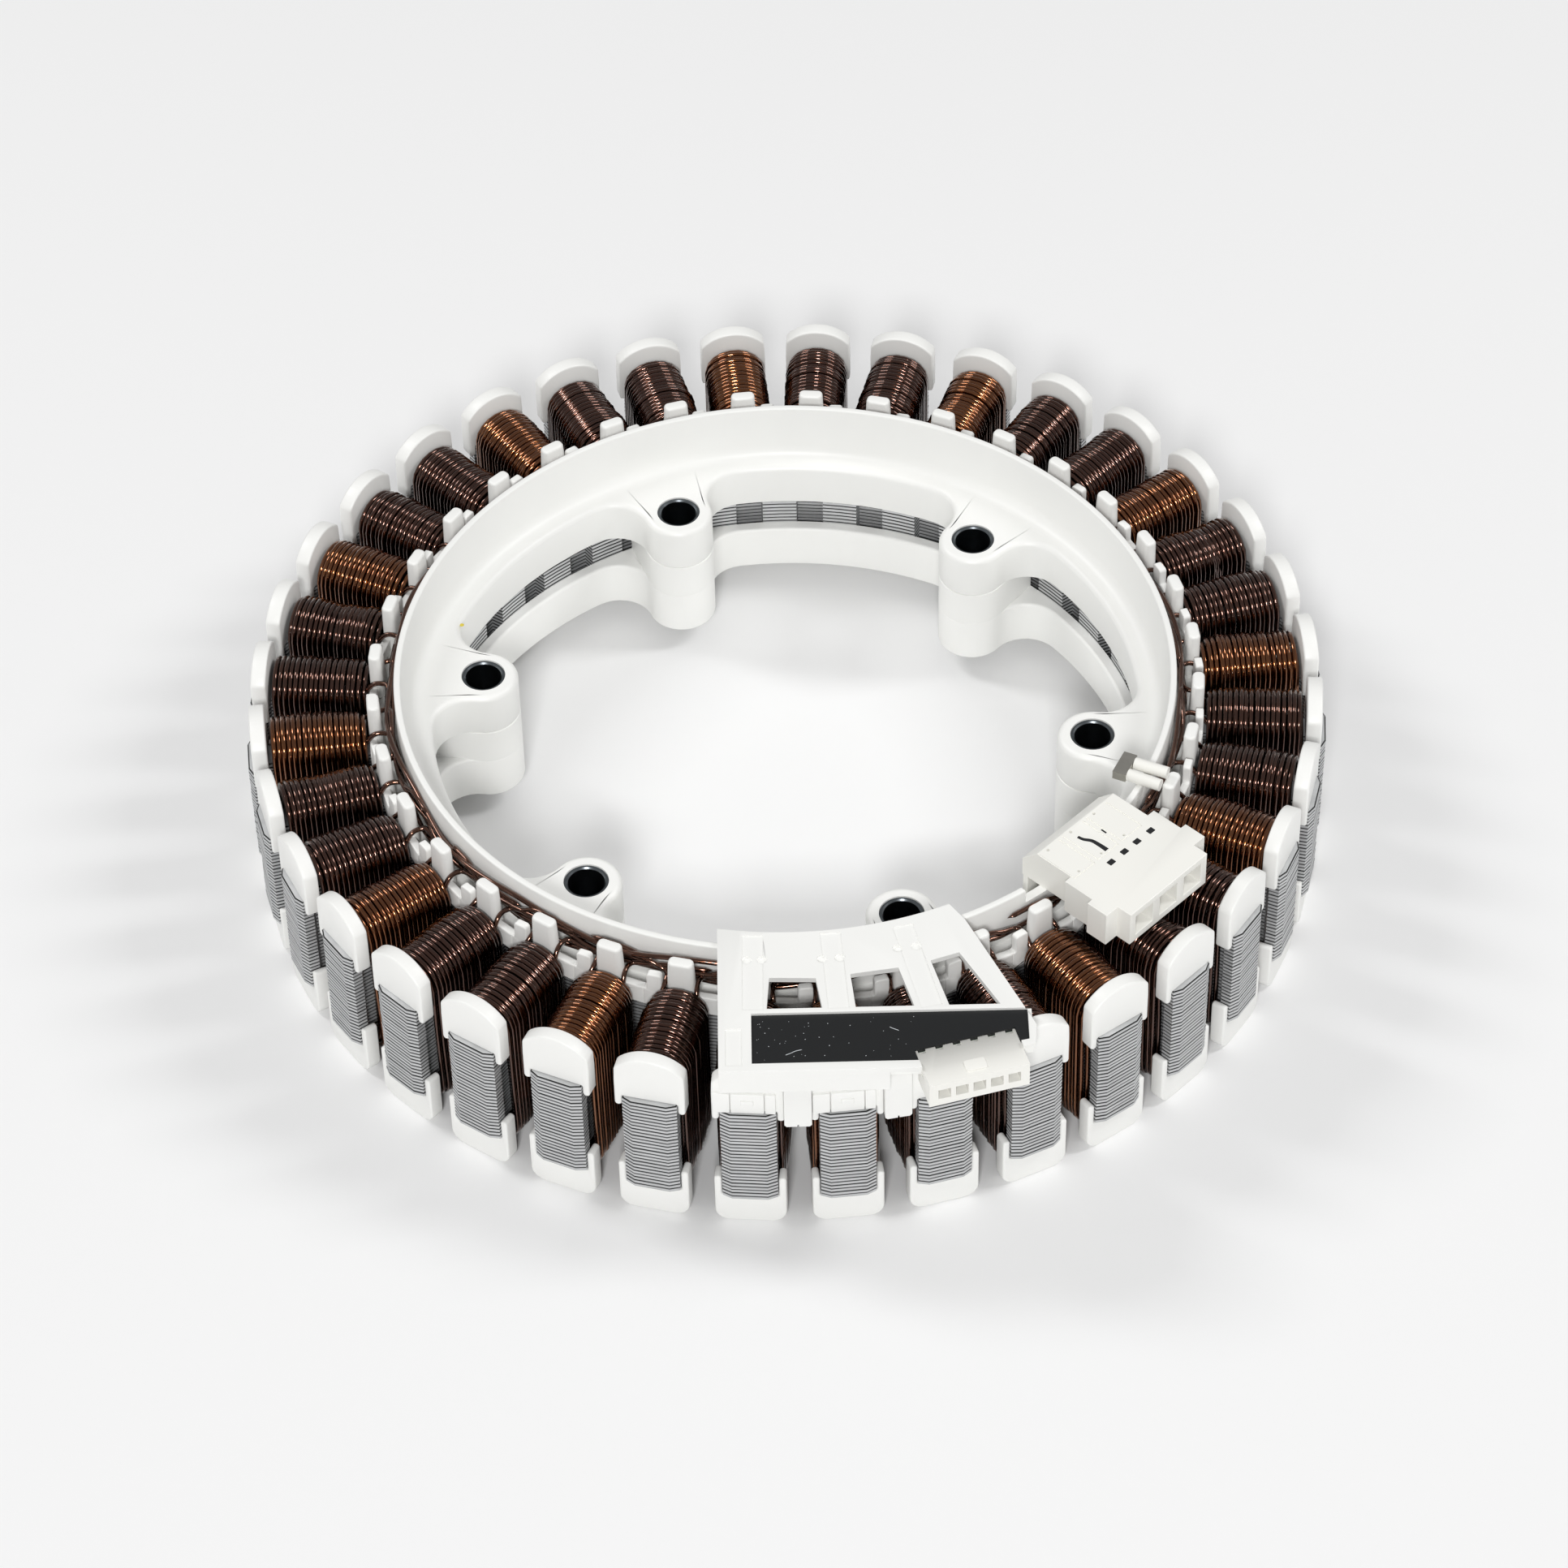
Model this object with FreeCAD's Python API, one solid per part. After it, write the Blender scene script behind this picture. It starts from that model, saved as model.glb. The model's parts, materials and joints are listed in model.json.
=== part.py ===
import FreeCAD, Part
import math
import os

# Wound stator of an outer-rotor, direct-drive washing-machine motor, in millimetres.
# Z is the motor axis. Z = 0 is the plane on which the 36 lower winding caps rest.
# The first mounting bolt lies on +X, and the winding slots are centred on the bolt lines.

V = FreeCAD.Vector
ORIGIN = V(0, 0, 0)
Z_AXIS = V(0, 0, 1)

# ---- pattern ----
TEETH = 36
PITCH_DEG = 360.0 / TEETH
FIRST_TOOTH_DEG = -85.0
PHASES = ("u", "v", "w")
BOLTS = 6
FIT = 0.05

# ---- the three sizes that the rest follows ----
TIP_RADIUS = 134.0
BOBBIN_WALL_RADIUS = 103.5
STACK_HEIGHT = 30.0

# ---- laminated core ----
STACK_BOTTOM_Z = 9.2
STACK_TOP_Z = STACK_BOTTOM_Z + STACK_HEIGHT
TIP_WIDTH = 13.2
TIP_FLAT_WIDTH = 8.5
TIP_CHAMFER_DROP = 1.1
TIP_SIDE_DEPTH = 2.6
TIP_HEAD_DEPTH = 5.2
TIP_BACK_RADIUS = TIP_RADIUS - TIP_HEAD_DEPTH
NECK_WIDTH = 7.0
WALL_STAND_OFF = 2.5
YOKE_OUTER_RADIUS = BOBBIN_WALL_RADIUS - WALL_STAND_OFF
YOKE_DEPTH = 10.0
CORE_INNER_RADIUS = YOKE_OUTER_RADIUS - YOKE_DEPTH

# ---- inner rings of the two insulators ----
WALL_THICKNESS = 3.0
WALL_OUTER_RADIUS = CORE_INNER_RADIUS - 2 * FIT
RING_INNER_RADIUS = WALL_OUTER_RADIUS - WALL_THICKNESS
FLANGE_THICKNESS = 1.7
CHANNEL_FLOOR_THICKNESS = 2.0
LOWER_FLOOR_THICKNESS = 2.5
UPPER_WALL_DEPTH = 10.2
LOWER_WALL_HEIGHT = 10.1
RIM_RISE = 15.9
RIM_TOP_Z = STACK_TOP_Z + RIM_RISE
CHANNEL_WIDTH = 6.85
RIM_OUTER_RADIUS = BOBBIN_WALL_RADIUS - CHANNEL_WIDTH
RIM_THICKNESS = 1.7
RIM_DRAFT = 1.5
RIM_FOOT = (2.0, 3.0)

# ---- bobbin walls that close the inner end of each coil ----
BOBBIN_WALL_THICKNESS = 2.0
UPPER_BOBBIN_RISE = 5.6
LOWER_BOBBIN_DROP = 6.0
GUIDE_RISE = 10.4
GUIDE_SPAN = (4.6, 8.2)

# ---- bolt bosses and their steel sleeves ----
BOSS_RADIUS = 8.7
BOSS_FILLET_RADIUS = 9.0
BOSS_REACH = 11.2
BOLT_CIRCLE_RADIUS = RING_INNER_RADIUS - BOSS_REACH
SEAM_GAP = 0.1
SLEEVE_RADIUS = 5.5
SLEEVE_BORE_RADIUS = 4.5
SLEEVE_RECESS = 0.3
SEAT_SIDES = 12

# ---- winding caps at the tooth tips ----
CAP_WIDTH = 17.0
CAP_SETBACK = 1.4
CAP_FACE_RADIUS = TIP_RADIUS - CAP_SETBACK
CAP_HEADROOM = 2.7
CAP_CREST_RISE = RIM_RISE - CAP_HEADROOM
CAP_ARCH_RISE = 4.3
CAP_SHOULDER_RISE = CAP_CREST_RISE - CAP_ARCH_RISE
CAP_LEG_DROP = 3.2
LOWER_CAP_LEG_RISE = 6.3
LOWER_CAP_CORNER = 3.0
LATCH_TEETH = (0, 1)
LATCH_THICKNESS = 0.7
LATCH_HEIGHT = 6.6
LATCH_PANELS = ((-8.2, -4.15), (-3.95, 3.85), (4.05, 6.5))

# ---- saddles that line the tooth necks ----
SADDLE_THICKNESS = 0.9
UPPER_SADDLE_CROWN = 3.8
LOWER_SADDLE_CROWN = 3.4
LINER_GAP = 0.8
LINER_LENGTH = (STACK_HEIGHT - LINER_GAP) / 2

# ---- pegs that the crossover wires pass ----
PEG_DROP = 0.6
PEG_TOP_Z = RIM_TOP_Z - PEG_DROP
PEG_TOP_SIZE = (3.3, 5.8)
PEG_FOOT_SIZE = (3.6, 7.2)

# ---- coils ----
COIL_HALF_WIDTH = 8.0
COIL_BELOW_CAP = 3.6
COIL_CREST_RISE = CAP_CREST_RISE - COIL_BELOW_CAP
COIL_ARCH_RISE = 4.6
COIL_SHOULDER_RISE = COIL_CREST_RISE - COIL_ARCH_RISE
COIL_BOTTOM_DROP = 7.2
COIL_FOOT_DROP = 3.4
COIL_ARCH_FACETS = 3
COIL_GAP = 0.1

# ---- crossover wires ----
WIRE_DIAMETER = 1.05
CROSSOVER_LEVELS = (0.25, 0.48, 0.71)
CROSSOVER_START_DEG = -22.0
CROSSOVER_SPANS = 31

# ---- rotor-position sensor housing ----
HOUSING_DEG = -80.3
REAR_OVERHANG = 4.65
HOUSING_REAR_RADIUS = RIM_OUTER_RADIUS - REAR_OVERHANG
PLATE_THICKNESS = 1.5
PLATE_TOP_Z = RIM_TOP_Z + PLATE_THICKNESS
PLATE_LEFT = -17.3
PLATE_PROUD = 1.2
PLATE_FRONT = TIP_RADIUS + PLATE_PROUD
PLATE_DEPTH = PLATE_FRONT - HOUSING_REAR_RADIUS
PLATE_CORNER = (28.0, 55.6, 0.84)
PLATE_RIGHT = (56.1, 0.71)
PLATE_RIGHT_REAR = 41.0
PLATE_REAR_STEP = 1.6
PLATE_REAR_END = 37.4
FRONT_WALL_THICKNESS = 1.6
FRONT_WALL_DEPTH = 5.8
FRONT_WALL_BOTTOM_Z = RIM_TOP_Z - FRONT_WALL_DEPTH
FRONT_WALL_END = 22.0
TRAY_FLOOR_THICKNESS = 0.8
TRAY_DEPTH = 2.3
TRAY_BOTTOM_Z = RIM_TOP_Z - TRAY_DEPTH
TRAY_WALL = 1.0
POCKET = ((-9.6, 0.588), (54.2, 0.588), (54.2, 0.81), (29.6, 0.944), (-9.6, 0.944))
WINDOWS = (
    ((-5.3, 0.333), (5.5, 0.343), (6.8, 0.556), (-6.0, 0.556)),
    ((13.6, 0.317), (24.8, 0.278), (28.1, 0.556), (14.6, 0.556)),
    ((32.4, 0.231), (39.1, 0.176), (48.0, 0.556), (36.2, 0.556)),
)
HOOK_DEPTH = 2.6
HOOK_THICKNESS = 1.6
HOOK_CLEARANCE = 0.6
HOOK_END_SETBACK = 6.0
BOARD_THICKNESS = 1.2
POTTING_DROP = 0.7
POTTING_TOP_Z = PLATE_TOP_Z - POTTING_DROP
SENSOR_SLOTS = (0, 1)
TONGUE_BOTTOM_Z = STACK_TOP_Z - CAP_LEG_DROP
TONGUE_PROUD = 0.4
TONGUE_FACE_RADIUS = TIP_RADIUS + TONGUE_PROUD
TONGUE_FRONT_WIDTH = 6.4
TONGUE_FRONT_THICKNESS = 1.4
TONGUE_DEPTH = 4.6
TONGUE_BACK_RADIUS = TONGUE_FACE_RADIUS - TONGUE_DEPTH
TONGUE_CLEARANCE = 0.6
SLOT_WIDTH = 2 * CAP_FACE_RADIUS * math.tan(math.radians(PITCH_DEG / 2)) - CAP_WIDTH
TONGUE_BACK_WIDTH = SLOT_WIDTH - 2 * TONGUE_CLEARANCE
TONGUE_WALL = 0.5
SENSOR_SIZE = (1.6, TONGUE_BACK_WIDTH - 2 * TONGUE_WALL, 3.2)
SENSOR_LEAD = (0.4, 0.7)

# ---- five-way signal connector ----
SIGNAL_TOOTH = 2
SIGNAL_OFFSET = 4.75
SIGNAL_WIDTH = 24.0
SIGNAL_STAND_OFF = 0.6
SIGNAL_BACK_RADIUS = TIP_RADIUS + SIGNAL_STAND_OFF
SIGNAL_TAIL_LENGTH = 2.6
SIGNAL_TAIL_RADIUS = SIGNAL_BACK_RADIUS - SIGNAL_TAIL_LENGTH
SIGNAL_DEPTH = 8.8
SIGNAL_FACE_RADIUS = SIGNAL_BACK_RADIUS + SIGNAL_DEPTH
SIGNAL_COLLAR_DEPTH = 4.8
SIGNAL_COLLAR_RADIUS = SIGNAL_FACE_RADIUS - SIGNAL_COLLAR_DEPTH
SIGNAL_DROP = 4.2
SIGNAL_BOTTOM_Z = TRAY_BOTTOM_Z - SIGNAL_DROP
SIGNAL_HEIGHT = 7.0
SIGNAL_TOP_Z = SIGNAL_BOTTOM_Z + SIGNAL_HEIGHT
SIGNAL_WAYS = 5
SIGNAL_PITCH = 4.2
SIGNAL_SOCKET = 3.0
SIGNAL_SOCKET_DEPTH = 7.0
SIGNAL_PIN = 0.64
SIGNAL_PIN_LENGTH = 5.5

# ---- power connector ----
POWER_TOOTH = 5
SHORT_PEGS = (POWER_TOOTH, POWER_TOOTH + 1)
POWER_DROP = 4.1
POWER_BOTTOM_Z = RIM_TOP_Z - POWER_DROP
POWER_HEIGHT = 10.0
POWER_LEFT = -10.5
POWER_RIGHT = 16.9
POWER_OVERHANG = 18.6
POWER_FRONT = BOBBIN_WALL_RADIUS + POWER_OVERHANG
POWER_INSET = 0.3
POWER_BACK = RING_INNER_RADIUS + POWER_INSET
POWER_SLOPE = 4.5
POWER_LEG_SETBACK = 0.6
POWER_LEG_WIDTH = 21.0
POWER_LEG_THICKNESS = 1.5
POWER_GAP_LEFT = -17.0
POWER_GAP_MARGIN = 2.0
POWER_SHOULDER = 2.2
POWER_SHOULDER_LENGTH = 8.5
POWER_SHOULDER_FRONT = BOBBIN_WALL_RADIUS + POWER_SHOULDER_LENGTH
EAR_LENGTH = 6.0
EAR_FRONT = POWER_SHOULDER_FRONT + EAR_LENGTH
EAR_REACH = 3.9
POWER_WAYS = 3
POWER_PITCH = 8.6
POWER_SOCKET = 6.2
POWER_SOCKET_DEPTH = 18.0
POWER_BLADE = (5.0, 4.8, 0.8)

# ---- splice of the winding tails ----
SPLICE_DEG = (-15.2, -17.8)
SPLICE_SLEEVE_RADIUS = 1.5
SPLICE_SLEEVE_LENGTH = 8.5
SPLICE_OVERHANG = 2.4
SPLICE_CRIMP = (3.4, 7.4, 2.4)


def turned(shape, degrees):
    """A copy turned about the motor axis."""
    copy = shape.copy()
    copy.rotate(ORIGIN, Z_AXIS, degrees)
    return copy


def tooth_angle(index):
    return FIRST_TOOTH_DEG + PITCH_DEG * index


def around_teeth(shape, indices=range(TEETH)):
    """Copies of a shape drawn along +X, one for each tooth."""
    return [turned(shape, tooth_angle(i)) for i in indices]


def around_bolts(shape):
    return [turned(shape, k * 360.0 / BOLTS) for k in range(BOLTS)]


def closed_wire(points):
    return Part.makePolygon(points + [points[0]])


def upright_plate(outline_yz, x_from, x_to):
    """A plate whose outline is drawn in Y and Z, between two radii along +X."""
    wire = closed_wire([V(x_from, y, z) for y, z in outline_yz])
    return Part.Face(wire).extrude(V(x_to - x_from, 0, 0))


def flat_plate(outline_xy, z_from, z_to):
    """A plate whose outline is drawn in X and Y, between two heights."""
    wire = closed_wire([V(x, y, z_from) for x, y in outline_xy])
    return Part.Face(wire).extrude(V(0, 0, z_to - z_from))


def block(x_from, x_to, y_from, y_to, z_from, z_to):
    return Part.makeBox(x_to - x_from, y_to - y_from, z_to - z_from, V(x_from, y_from, z_from))


def ring_of(profile_rz):
    """A full turn of a closed profile drawn in radius and height."""
    wire = closed_wire([V(r, 0, z) for r, z in profile_rz])
    return Part.Face(wire).revolve(ORIGIN, Z_AXIS, 360)


def mirrored_half(half):
    """A symmetric outline from the points of its +Y half, listed from its top to its bottom."""
    return half + [(-y, z) for y, z in reversed(half) if abs(y) > 1e-9]


def arch_points(half_width, shoulder_z, crest_z, facets):
    """The +Y half of a shallow arch in flat facets, from its crest to its shoulder."""
    rise = crest_z - shoulder_z
    radius = (half_width ** 2 + rise ** 2) / (2 * rise)
    sweep = math.asin(half_width / abs(radius))
    points = []
    for step in range(facets + 1):
        angle = sweep * (2.0 * step / facets - 1.0)
        if angle > -1e-9:
            points.append((abs(radius) * math.sin(angle), crest_z - radius * (1 - math.cos(angle))))
    return points


# ---------------------------------------------------------------- laminated core

def tooth_outline():
    """Half of one tooth in plan: pole face, chamfered corner, side, underside and neck."""
    corner_radius = TIP_RADIUS - TIP_CHAMFER_DROP
    half_tip = TIP_WIDTH / 2
    half_neck = NECK_WIDTH / 2
    neck_root = math.sqrt(YOKE_OUTER_RADIUS ** 2 - half_neck ** 2)
    return [
        (TIP_RADIUS, TIP_FLAT_WIDTH / 2),
        (corner_radius, half_tip),
        (corner_radius - TIP_SIDE_DEPTH, half_tip),
        (TIP_BACK_RADIUS, half_neck),
        (neck_root, half_neck),
    ]


def lamination_core():
    """The stack as one solid: a yoke ring with T-shaped teeth pointing outwards."""
    half = tooth_outline()
    whole = [(x, -y) for x, y in reversed(half)] + half
    outline = []
    for index in range(TEETH):
        turn = FreeCAD.Rotation(Z_AXIS, tooth_angle(index))
        points = [turn.multVec(V(x, y, STACK_BOTTOM_Z)) for x, y in whole]
        outline += points
    core = Part.Face(closed_wire(outline)).extrude(V(0, 0, STACK_HEIGHT))
    eye = Part.makeCylinder(CORE_INNER_RADIUS, STACK_HEIGHT, V(0, 0, STACK_BOTTOM_Z))
    return core.cut(eye)


# ---------------------------------------------------------------- insulators

def boss_web(z_from, z_to):
    """A bolt boss on +X, blended into the ring wall by a concave fillet on each side."""
    reach = RING_INNER_RADIUS - BOSS_FILLET_RADIUS
    span = BOSS_RADIUS + BOSS_FILLET_RADIUS
    fillet_x = (reach ** 2 - span ** 2 + BOLT_CIRCLE_RADIUS ** 2) / (2 * BOLT_CIRCLE_RADIUS)
    fillet_y = math.sqrt(reach ** 2 - fillet_x ** 2)
    centre = V(BOLT_CIRCLE_RADIUS, 0, z_from)
    hollow = V(fillet_x, fillet_y, z_from)
    on_wall = V(hollow.x, hollow.y, 0) * (RING_INNER_RADIUS / reach) + V(0, 0, z_from)
    on_boss = centre + (hollow - centre) * (BOSS_RADIUS / span)
    middle = ((on_wall - hollow) + (on_boss - hollow)).normalize()
    on_fillet = hollow + middle * BOSS_FILLET_RADIUS
    backing = (RING_INNER_RADIUS + WALL_OUTER_RADIUS) / 2
    in_wall = V(on_wall.x, on_wall.y, 0) * (backing / RING_INNER_RADIUS) + V(0, 0, z_from)

    def flip(p):
        return V(p.x, -p.y, p.z)

    edges = [
        Part.Arc(on_wall, on_fillet, on_boss).toShape(),
        Part.Arc(on_boss, centre - V(BOSS_RADIUS, 0, 0), flip(on_boss)).toShape(),
        Part.Arc(flip(on_boss), flip(on_fillet), flip(on_wall)).toShape(),
        Part.LineSegment(flip(on_wall), flip(in_wall)).toShape(),
        Part.LineSegment(flip(in_wall), in_wall).toShape(),
        Part.LineSegment(in_wall, on_wall).toShape(),
    ]
    return Part.Face(Part.Wire(edges)).extrude(V(0, 0, z_to - z_from))


def bolt_pillar(z_from, z_to):
    """The narrower stretch of a boss beside the windows, reaching out to the core."""
    round_part = Part.makeCylinder(BOSS_RADIUS, z_to - z_from, V(BOLT_CIRCLE_RADIUS, 0, z_from))
    reach = math.sqrt(WALL_OUTER_RADIUS ** 2 - BOSS_RADIUS ** 2)
    web = block(BOLT_CIRCLE_RADIUS, reach, -BOSS_RADIUS, BOSS_RADIUS, z_from, z_to)
    return round_part.fuse(web)


def sleeve_seat():
    """The many-sided bore that grips a pressed-in sleeve on its flats."""
    corner_radius = (SLEEVE_RADIUS + FIT) / math.cos(math.pi / SEAT_SIDES)
    corners = []
    for side in range(SEAT_SIDES):
        turn = 2 * math.pi * (side + 0.5) / SEAT_SIDES
        x = BOLT_CIRCLE_RADIUS + corner_radius * math.cos(turn)
        corners.append((x, corner_radius * math.sin(turn)))
    return flat_plate(corners, 0, RIM_TOP_Z)


def bobbin_wall(z_from, z_to):
    """One flat of the wall that closes the inner end of a coil."""
    inner = BOBBIN_WALL_RADIUS - BOBBIN_WALL_THICKNESS
    half_pitch = math.tan(math.radians(PITCH_DEG / 2))
    corners = [
        (inner, -inner * half_pitch),
        (BOBBIN_WALL_RADIUS, -BOBBIN_WALL_RADIUS * half_pitch),
        (BOBBIN_WALL_RADIUS, BOBBIN_WALL_RADIUS * half_pitch),
        (inner, inner * half_pitch),
    ]
    return flat_plate(corners, z_from, z_to)


def wire_guide():
    """The higher stretch of the wall that leads a coil's wire past its peg."""
    near, far = GUIDE_SPAN
    inner = BOBBIN_WALL_RADIUS - BOBBIN_WALL_THICKNESS
    foot_z = STACK_TOP_Z + UPPER_BOBBIN_RISE
    return block(inner, BOBBIN_WALL_RADIUS, -far, -near, foot_z, STACK_TOP_Z + GUIDE_RISE)


def latch_panels():
    """The flat panels on a cap's face that steady the sensor housing."""
    face = CAP_FACE_RADIUS + LATCH_THICKNESS
    foot_z = STACK_TOP_Z + FIT
    top_z = STACK_TOP_Z + LATCH_HEIGHT
    return [block(CAP_FACE_RADIUS, face, y0, y1, foot_z, top_z) for y0, y1 in LATCH_PANELS]


def saddle(seat_z, crown_z, liner_z):
    """The channel that straddles a tooth neck: a crown over it and a liner down each side."""
    inner = NECK_WIDTH / 2 + FIT
    outer = inner + SADDLE_THICKNESS
    outline = mirrored_half([(outer, crown_z), (outer, liner_z), (inner, liner_z), (inner, seat_z)])
    return upright_plate(outline, YOKE_OUTER_RADIUS + FIT, TIP_BACK_RADIUS)


def upper_cap():
    """The arched cap that holds a coil's outer end, with two short legs beside the pole tip."""
    half = CAP_WIDTH / 2
    leg_inner = TIP_WIDTH / 2 + FIT
    leg_z = STACK_TOP_Z - CAP_LEG_DROP
    crest_z = STACK_TOP_Z + CAP_CREST_RISE
    shoulder_z = STACK_TOP_Z + CAP_SHOULDER_RISE
    arch = arch_points(half, shoulder_z, crest_z, 5)
    outline = mirrored_half(arch + [(half, leg_z), (leg_inner, leg_z), (leg_inner, STACK_TOP_Z)])
    return upright_plate(outline, TIP_BACK_RADIUS, CAP_FACE_RADIUS)


def lower_cap():
    """The foot cap: it stands on Z = 0 and its legs run up beside the pole tip."""
    half = CAP_WIDTH / 2
    leg_inner = TIP_WIDTH / 2 + FIT
    leg_z = STACK_BOTTOM_Z + LOWER_CAP_LEG_RISE
    outline = mirrored_half([
        (leg_inner, STACK_BOTTOM_Z),
        (leg_inner, leg_z),
        (half, leg_z),
        (half, LOWER_CAP_CORNER),
        (half - LOWER_CAP_CORNER, 0),
    ])
    return upright_plate(outline, TIP_BACK_RADIUS, CAP_FACE_RADIUS)


def peg(top_z):
    """A tapered peg that rises from the channel floor, flush with the bobbin wall."""
    levels = ((PEG_FOOT_SIZE, STACK_TOP_Z + CHANNEL_FLOOR_THICKNESS), (PEG_TOP_SIZE, top_z))
    rings = []
    for (depth, width), z in levels:
        corners = [
            V(BOBBIN_WALL_RADIUS - depth, -width / 2, z),
            V(BOBBIN_WALL_RADIUS, -width / 2, z),
            V(BOBBIN_WALL_RADIUS, width / 2, z),
            V(BOBBIN_WALL_RADIUS - depth, width / 2, z),
        ]
        rings.append(corners)
    foot, top = rings
    faces = [Part.Face(closed_wire(foot)), Part.Face(closed_wire(top))]
    for a in range(4):
        b = (a + 1) % 4
        faces.append(Part.Face(closed_wire([foot[a], foot[b], top[b], top[a]])))
    return Part.Solid(Part.Shell(faces))


def upper_insulator():
    """The white upper moulding: scalloped flange, rim, wire channel, pegs, saddles and caps."""
    rim_inner = RIM_OUTER_RADIUS - RIM_THICKNESS
    flange_z = STACK_TOP_Z + FLANGE_THICKNESS
    floor_z = STACK_TOP_Z + CHANNEL_FLOOR_THICKNESS
    wall_z = STACK_TOP_Z - UPPER_WALL_DEPTH
    foot_width, foot_height = RIM_FOOT
    in_wall = BOBBIN_WALL_RADIUS - BOBBIN_WALL_THICKNESS / 2
    ring = ring_of([
        (RING_INNER_RADIUS, wall_z),
        (RING_INNER_RADIUS, flange_z),
        (rim_inner - RIM_DRAFT - foot_width, flange_z),
        (rim_inner - RIM_DRAFT, flange_z + foot_height),
        (rim_inner, RIM_TOP_Z),
        (RIM_OUTER_RADIUS, RIM_TOP_Z),
        (RIM_OUTER_RADIUS, floor_z),
        (in_wall, floor_z),
        (in_wall, STACK_TOP_Z),
        (WALL_OUTER_RADIUS, STACK_TOP_Z),
        (WALL_OUTER_RADIUS, wall_z),
    ])
    wall = bobbin_wall(STACK_TOP_Z, STACK_TOP_Z + UPPER_BOBBIN_RISE)
    bridge = saddle(STACK_TOP_Z, STACK_TOP_Z + UPPER_SADDLE_CROWN, STACK_TOP_Z - LINER_LENGTH)
    sector = wall.fuse([wire_guide(), bridge, upper_cap()])
    pieces = around_teeth(sector)
    pieces += around_teeth(peg(PEG_TOP_Z), tall_pegs())
    pieces += around_teeth(peg(POWER_BOTTOM_Z), SHORT_PEGS)
    pieces += around_bolts(boss_web(wall_z, flange_z))
    for panel in latch_panels():
        pieces += around_teeth(panel, LATCH_TEETH)
    body = ring.cut(power_gap()).fuse(pieces).removeSplitter()
    return body.cut(around_bolts(sleeve_seat()))


def lower_insulator():
    """The white lower moulding: ring, boss pillars, saddles and the foot caps."""
    floor_z = STACK_BOTTOM_Z - LOWER_FLOOR_THICKNESS
    ledge_z = STACK_BOTTOM_Z + LOWER_WALL_HEIGHT
    pillar_top = STACK_TOP_Z - UPPER_WALL_DEPTH - SEAM_GAP
    in_wall = BOBBIN_WALL_RADIUS - BOBBIN_WALL_THICKNESS / 2
    ring = ring_of([
        (RING_INNER_RADIUS, floor_z),
        (RING_INNER_RADIUS, ledge_z),
        (WALL_OUTER_RADIUS, ledge_z),
        (WALL_OUTER_RADIUS, STACK_BOTTOM_Z),
        (in_wall, STACK_BOTTOM_Z),
        (in_wall, floor_z),
    ])
    wall = bobbin_wall(STACK_BOTTOM_Z - LOWER_BOBBIN_DROP, STACK_BOTTOM_Z)
    bridge = saddle(STACK_BOTTOM_Z, STACK_BOTTOM_Z - LOWER_SADDLE_CROWN, STACK_BOTTOM_Z + LINER_LENGTH)
    sector = wall.fuse([bridge, lower_cap()])
    pieces = around_teeth(sector)
    pieces += around_bolts(boss_web(floor_z, ledge_z))
    pieces += around_bolts(bolt_pillar(floor_z, pillar_top))
    body = ring.fuse(pieces).removeSplitter()
    return body.cut(around_bolts(sleeve_seat()))


def bolt_sleeves():
    """Six steel sleeves that carry the bolt load through the plastic bosses."""
    foot_z = STACK_BOTTOM_Z - LOWER_FLOOR_THICKNESS
    foot = V(BOLT_CIRCLE_RADIUS, 0, foot_z)
    length = STACK_TOP_Z + FLANGE_THICKNESS - SLEEVE_RECESS - foot_z
    tube = Part.makeCylinder(SLEEVE_RADIUS, length, foot)
    tube = tube.cut(Part.makeCylinder(SLEEVE_BORE_RADIUS, length, foot))
    return Part.makeCompound(around_bolts(tube))


# ---------------------------------------------------------------- windings

def coil():
    """One concentrated winding round a tooth neck, with arched ends."""
    top = arch_points(
        COIL_HALF_WIDTH,
        STACK_TOP_Z + COIL_SHOULDER_RISE,
        STACK_TOP_Z + COIL_CREST_RISE,
        COIL_ARCH_FACETS,
    )
    bottom = arch_points(
        COIL_HALF_WIDTH,
        STACK_BOTTOM_Z - COIL_FOOT_DROP,
        STACK_BOTTOM_Z - COIL_BOTTOM_DROP,
        COIL_ARCH_FACETS,
    )
    inner_from = BOBBIN_WALL_RADIUS + COIL_GAP
    inner_to = TIP_BACK_RADIUS - COIL_GAP
    body = upright_plate(mirrored_half(top + bottom[::-1]), inner_from, inner_to)
    hole = NECK_WIDTH / 2 + FIT + SADDLE_THICKNESS + FIT
    hole_bottom = STACK_BOTTOM_Z - LOWER_SADDLE_CROWN - FIT
    hole_top = STACK_TOP_Z + UPPER_SADDLE_CROWN + FIT
    return body.cut(block(inner_from, inner_to, -hole, hole, hole_bottom, hole_top))


def crossover_wire(level):
    """One phase's wire, drawn taut from peg to peg at its share of the channel's height."""
    floor_z = STACK_TOP_Z + CHANNEL_FLOOR_THICKNESS
    level_z = floor_z + level * (RIM_TOP_Z - floor_z)
    radius = BOBBIN_WALL_RADIUS - PEG_FOOT_SIZE[0] - WIRE_DIAMETER / 2 - FIT
    half = WIRE_DIAMETER / 2
    sections = []
    for span in range(CROSSOVER_SPANS + 1):
        section = closed_wire([
            V(radius - half, 0, level_z),
            V(radius, 0, level_z - half),
            V(radius + half, 0, level_z),
            V(radius, 0, level_z + half),
        ])
        section.rotate(ORIGIN, Z_AXIS, CROSSOVER_START_DEG + PITCH_DEG * span)
        sections.append(section)
    return Part.makeLoft(sections, True, True)


# ---------------------------------------------------------------- sensor housing

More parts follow.
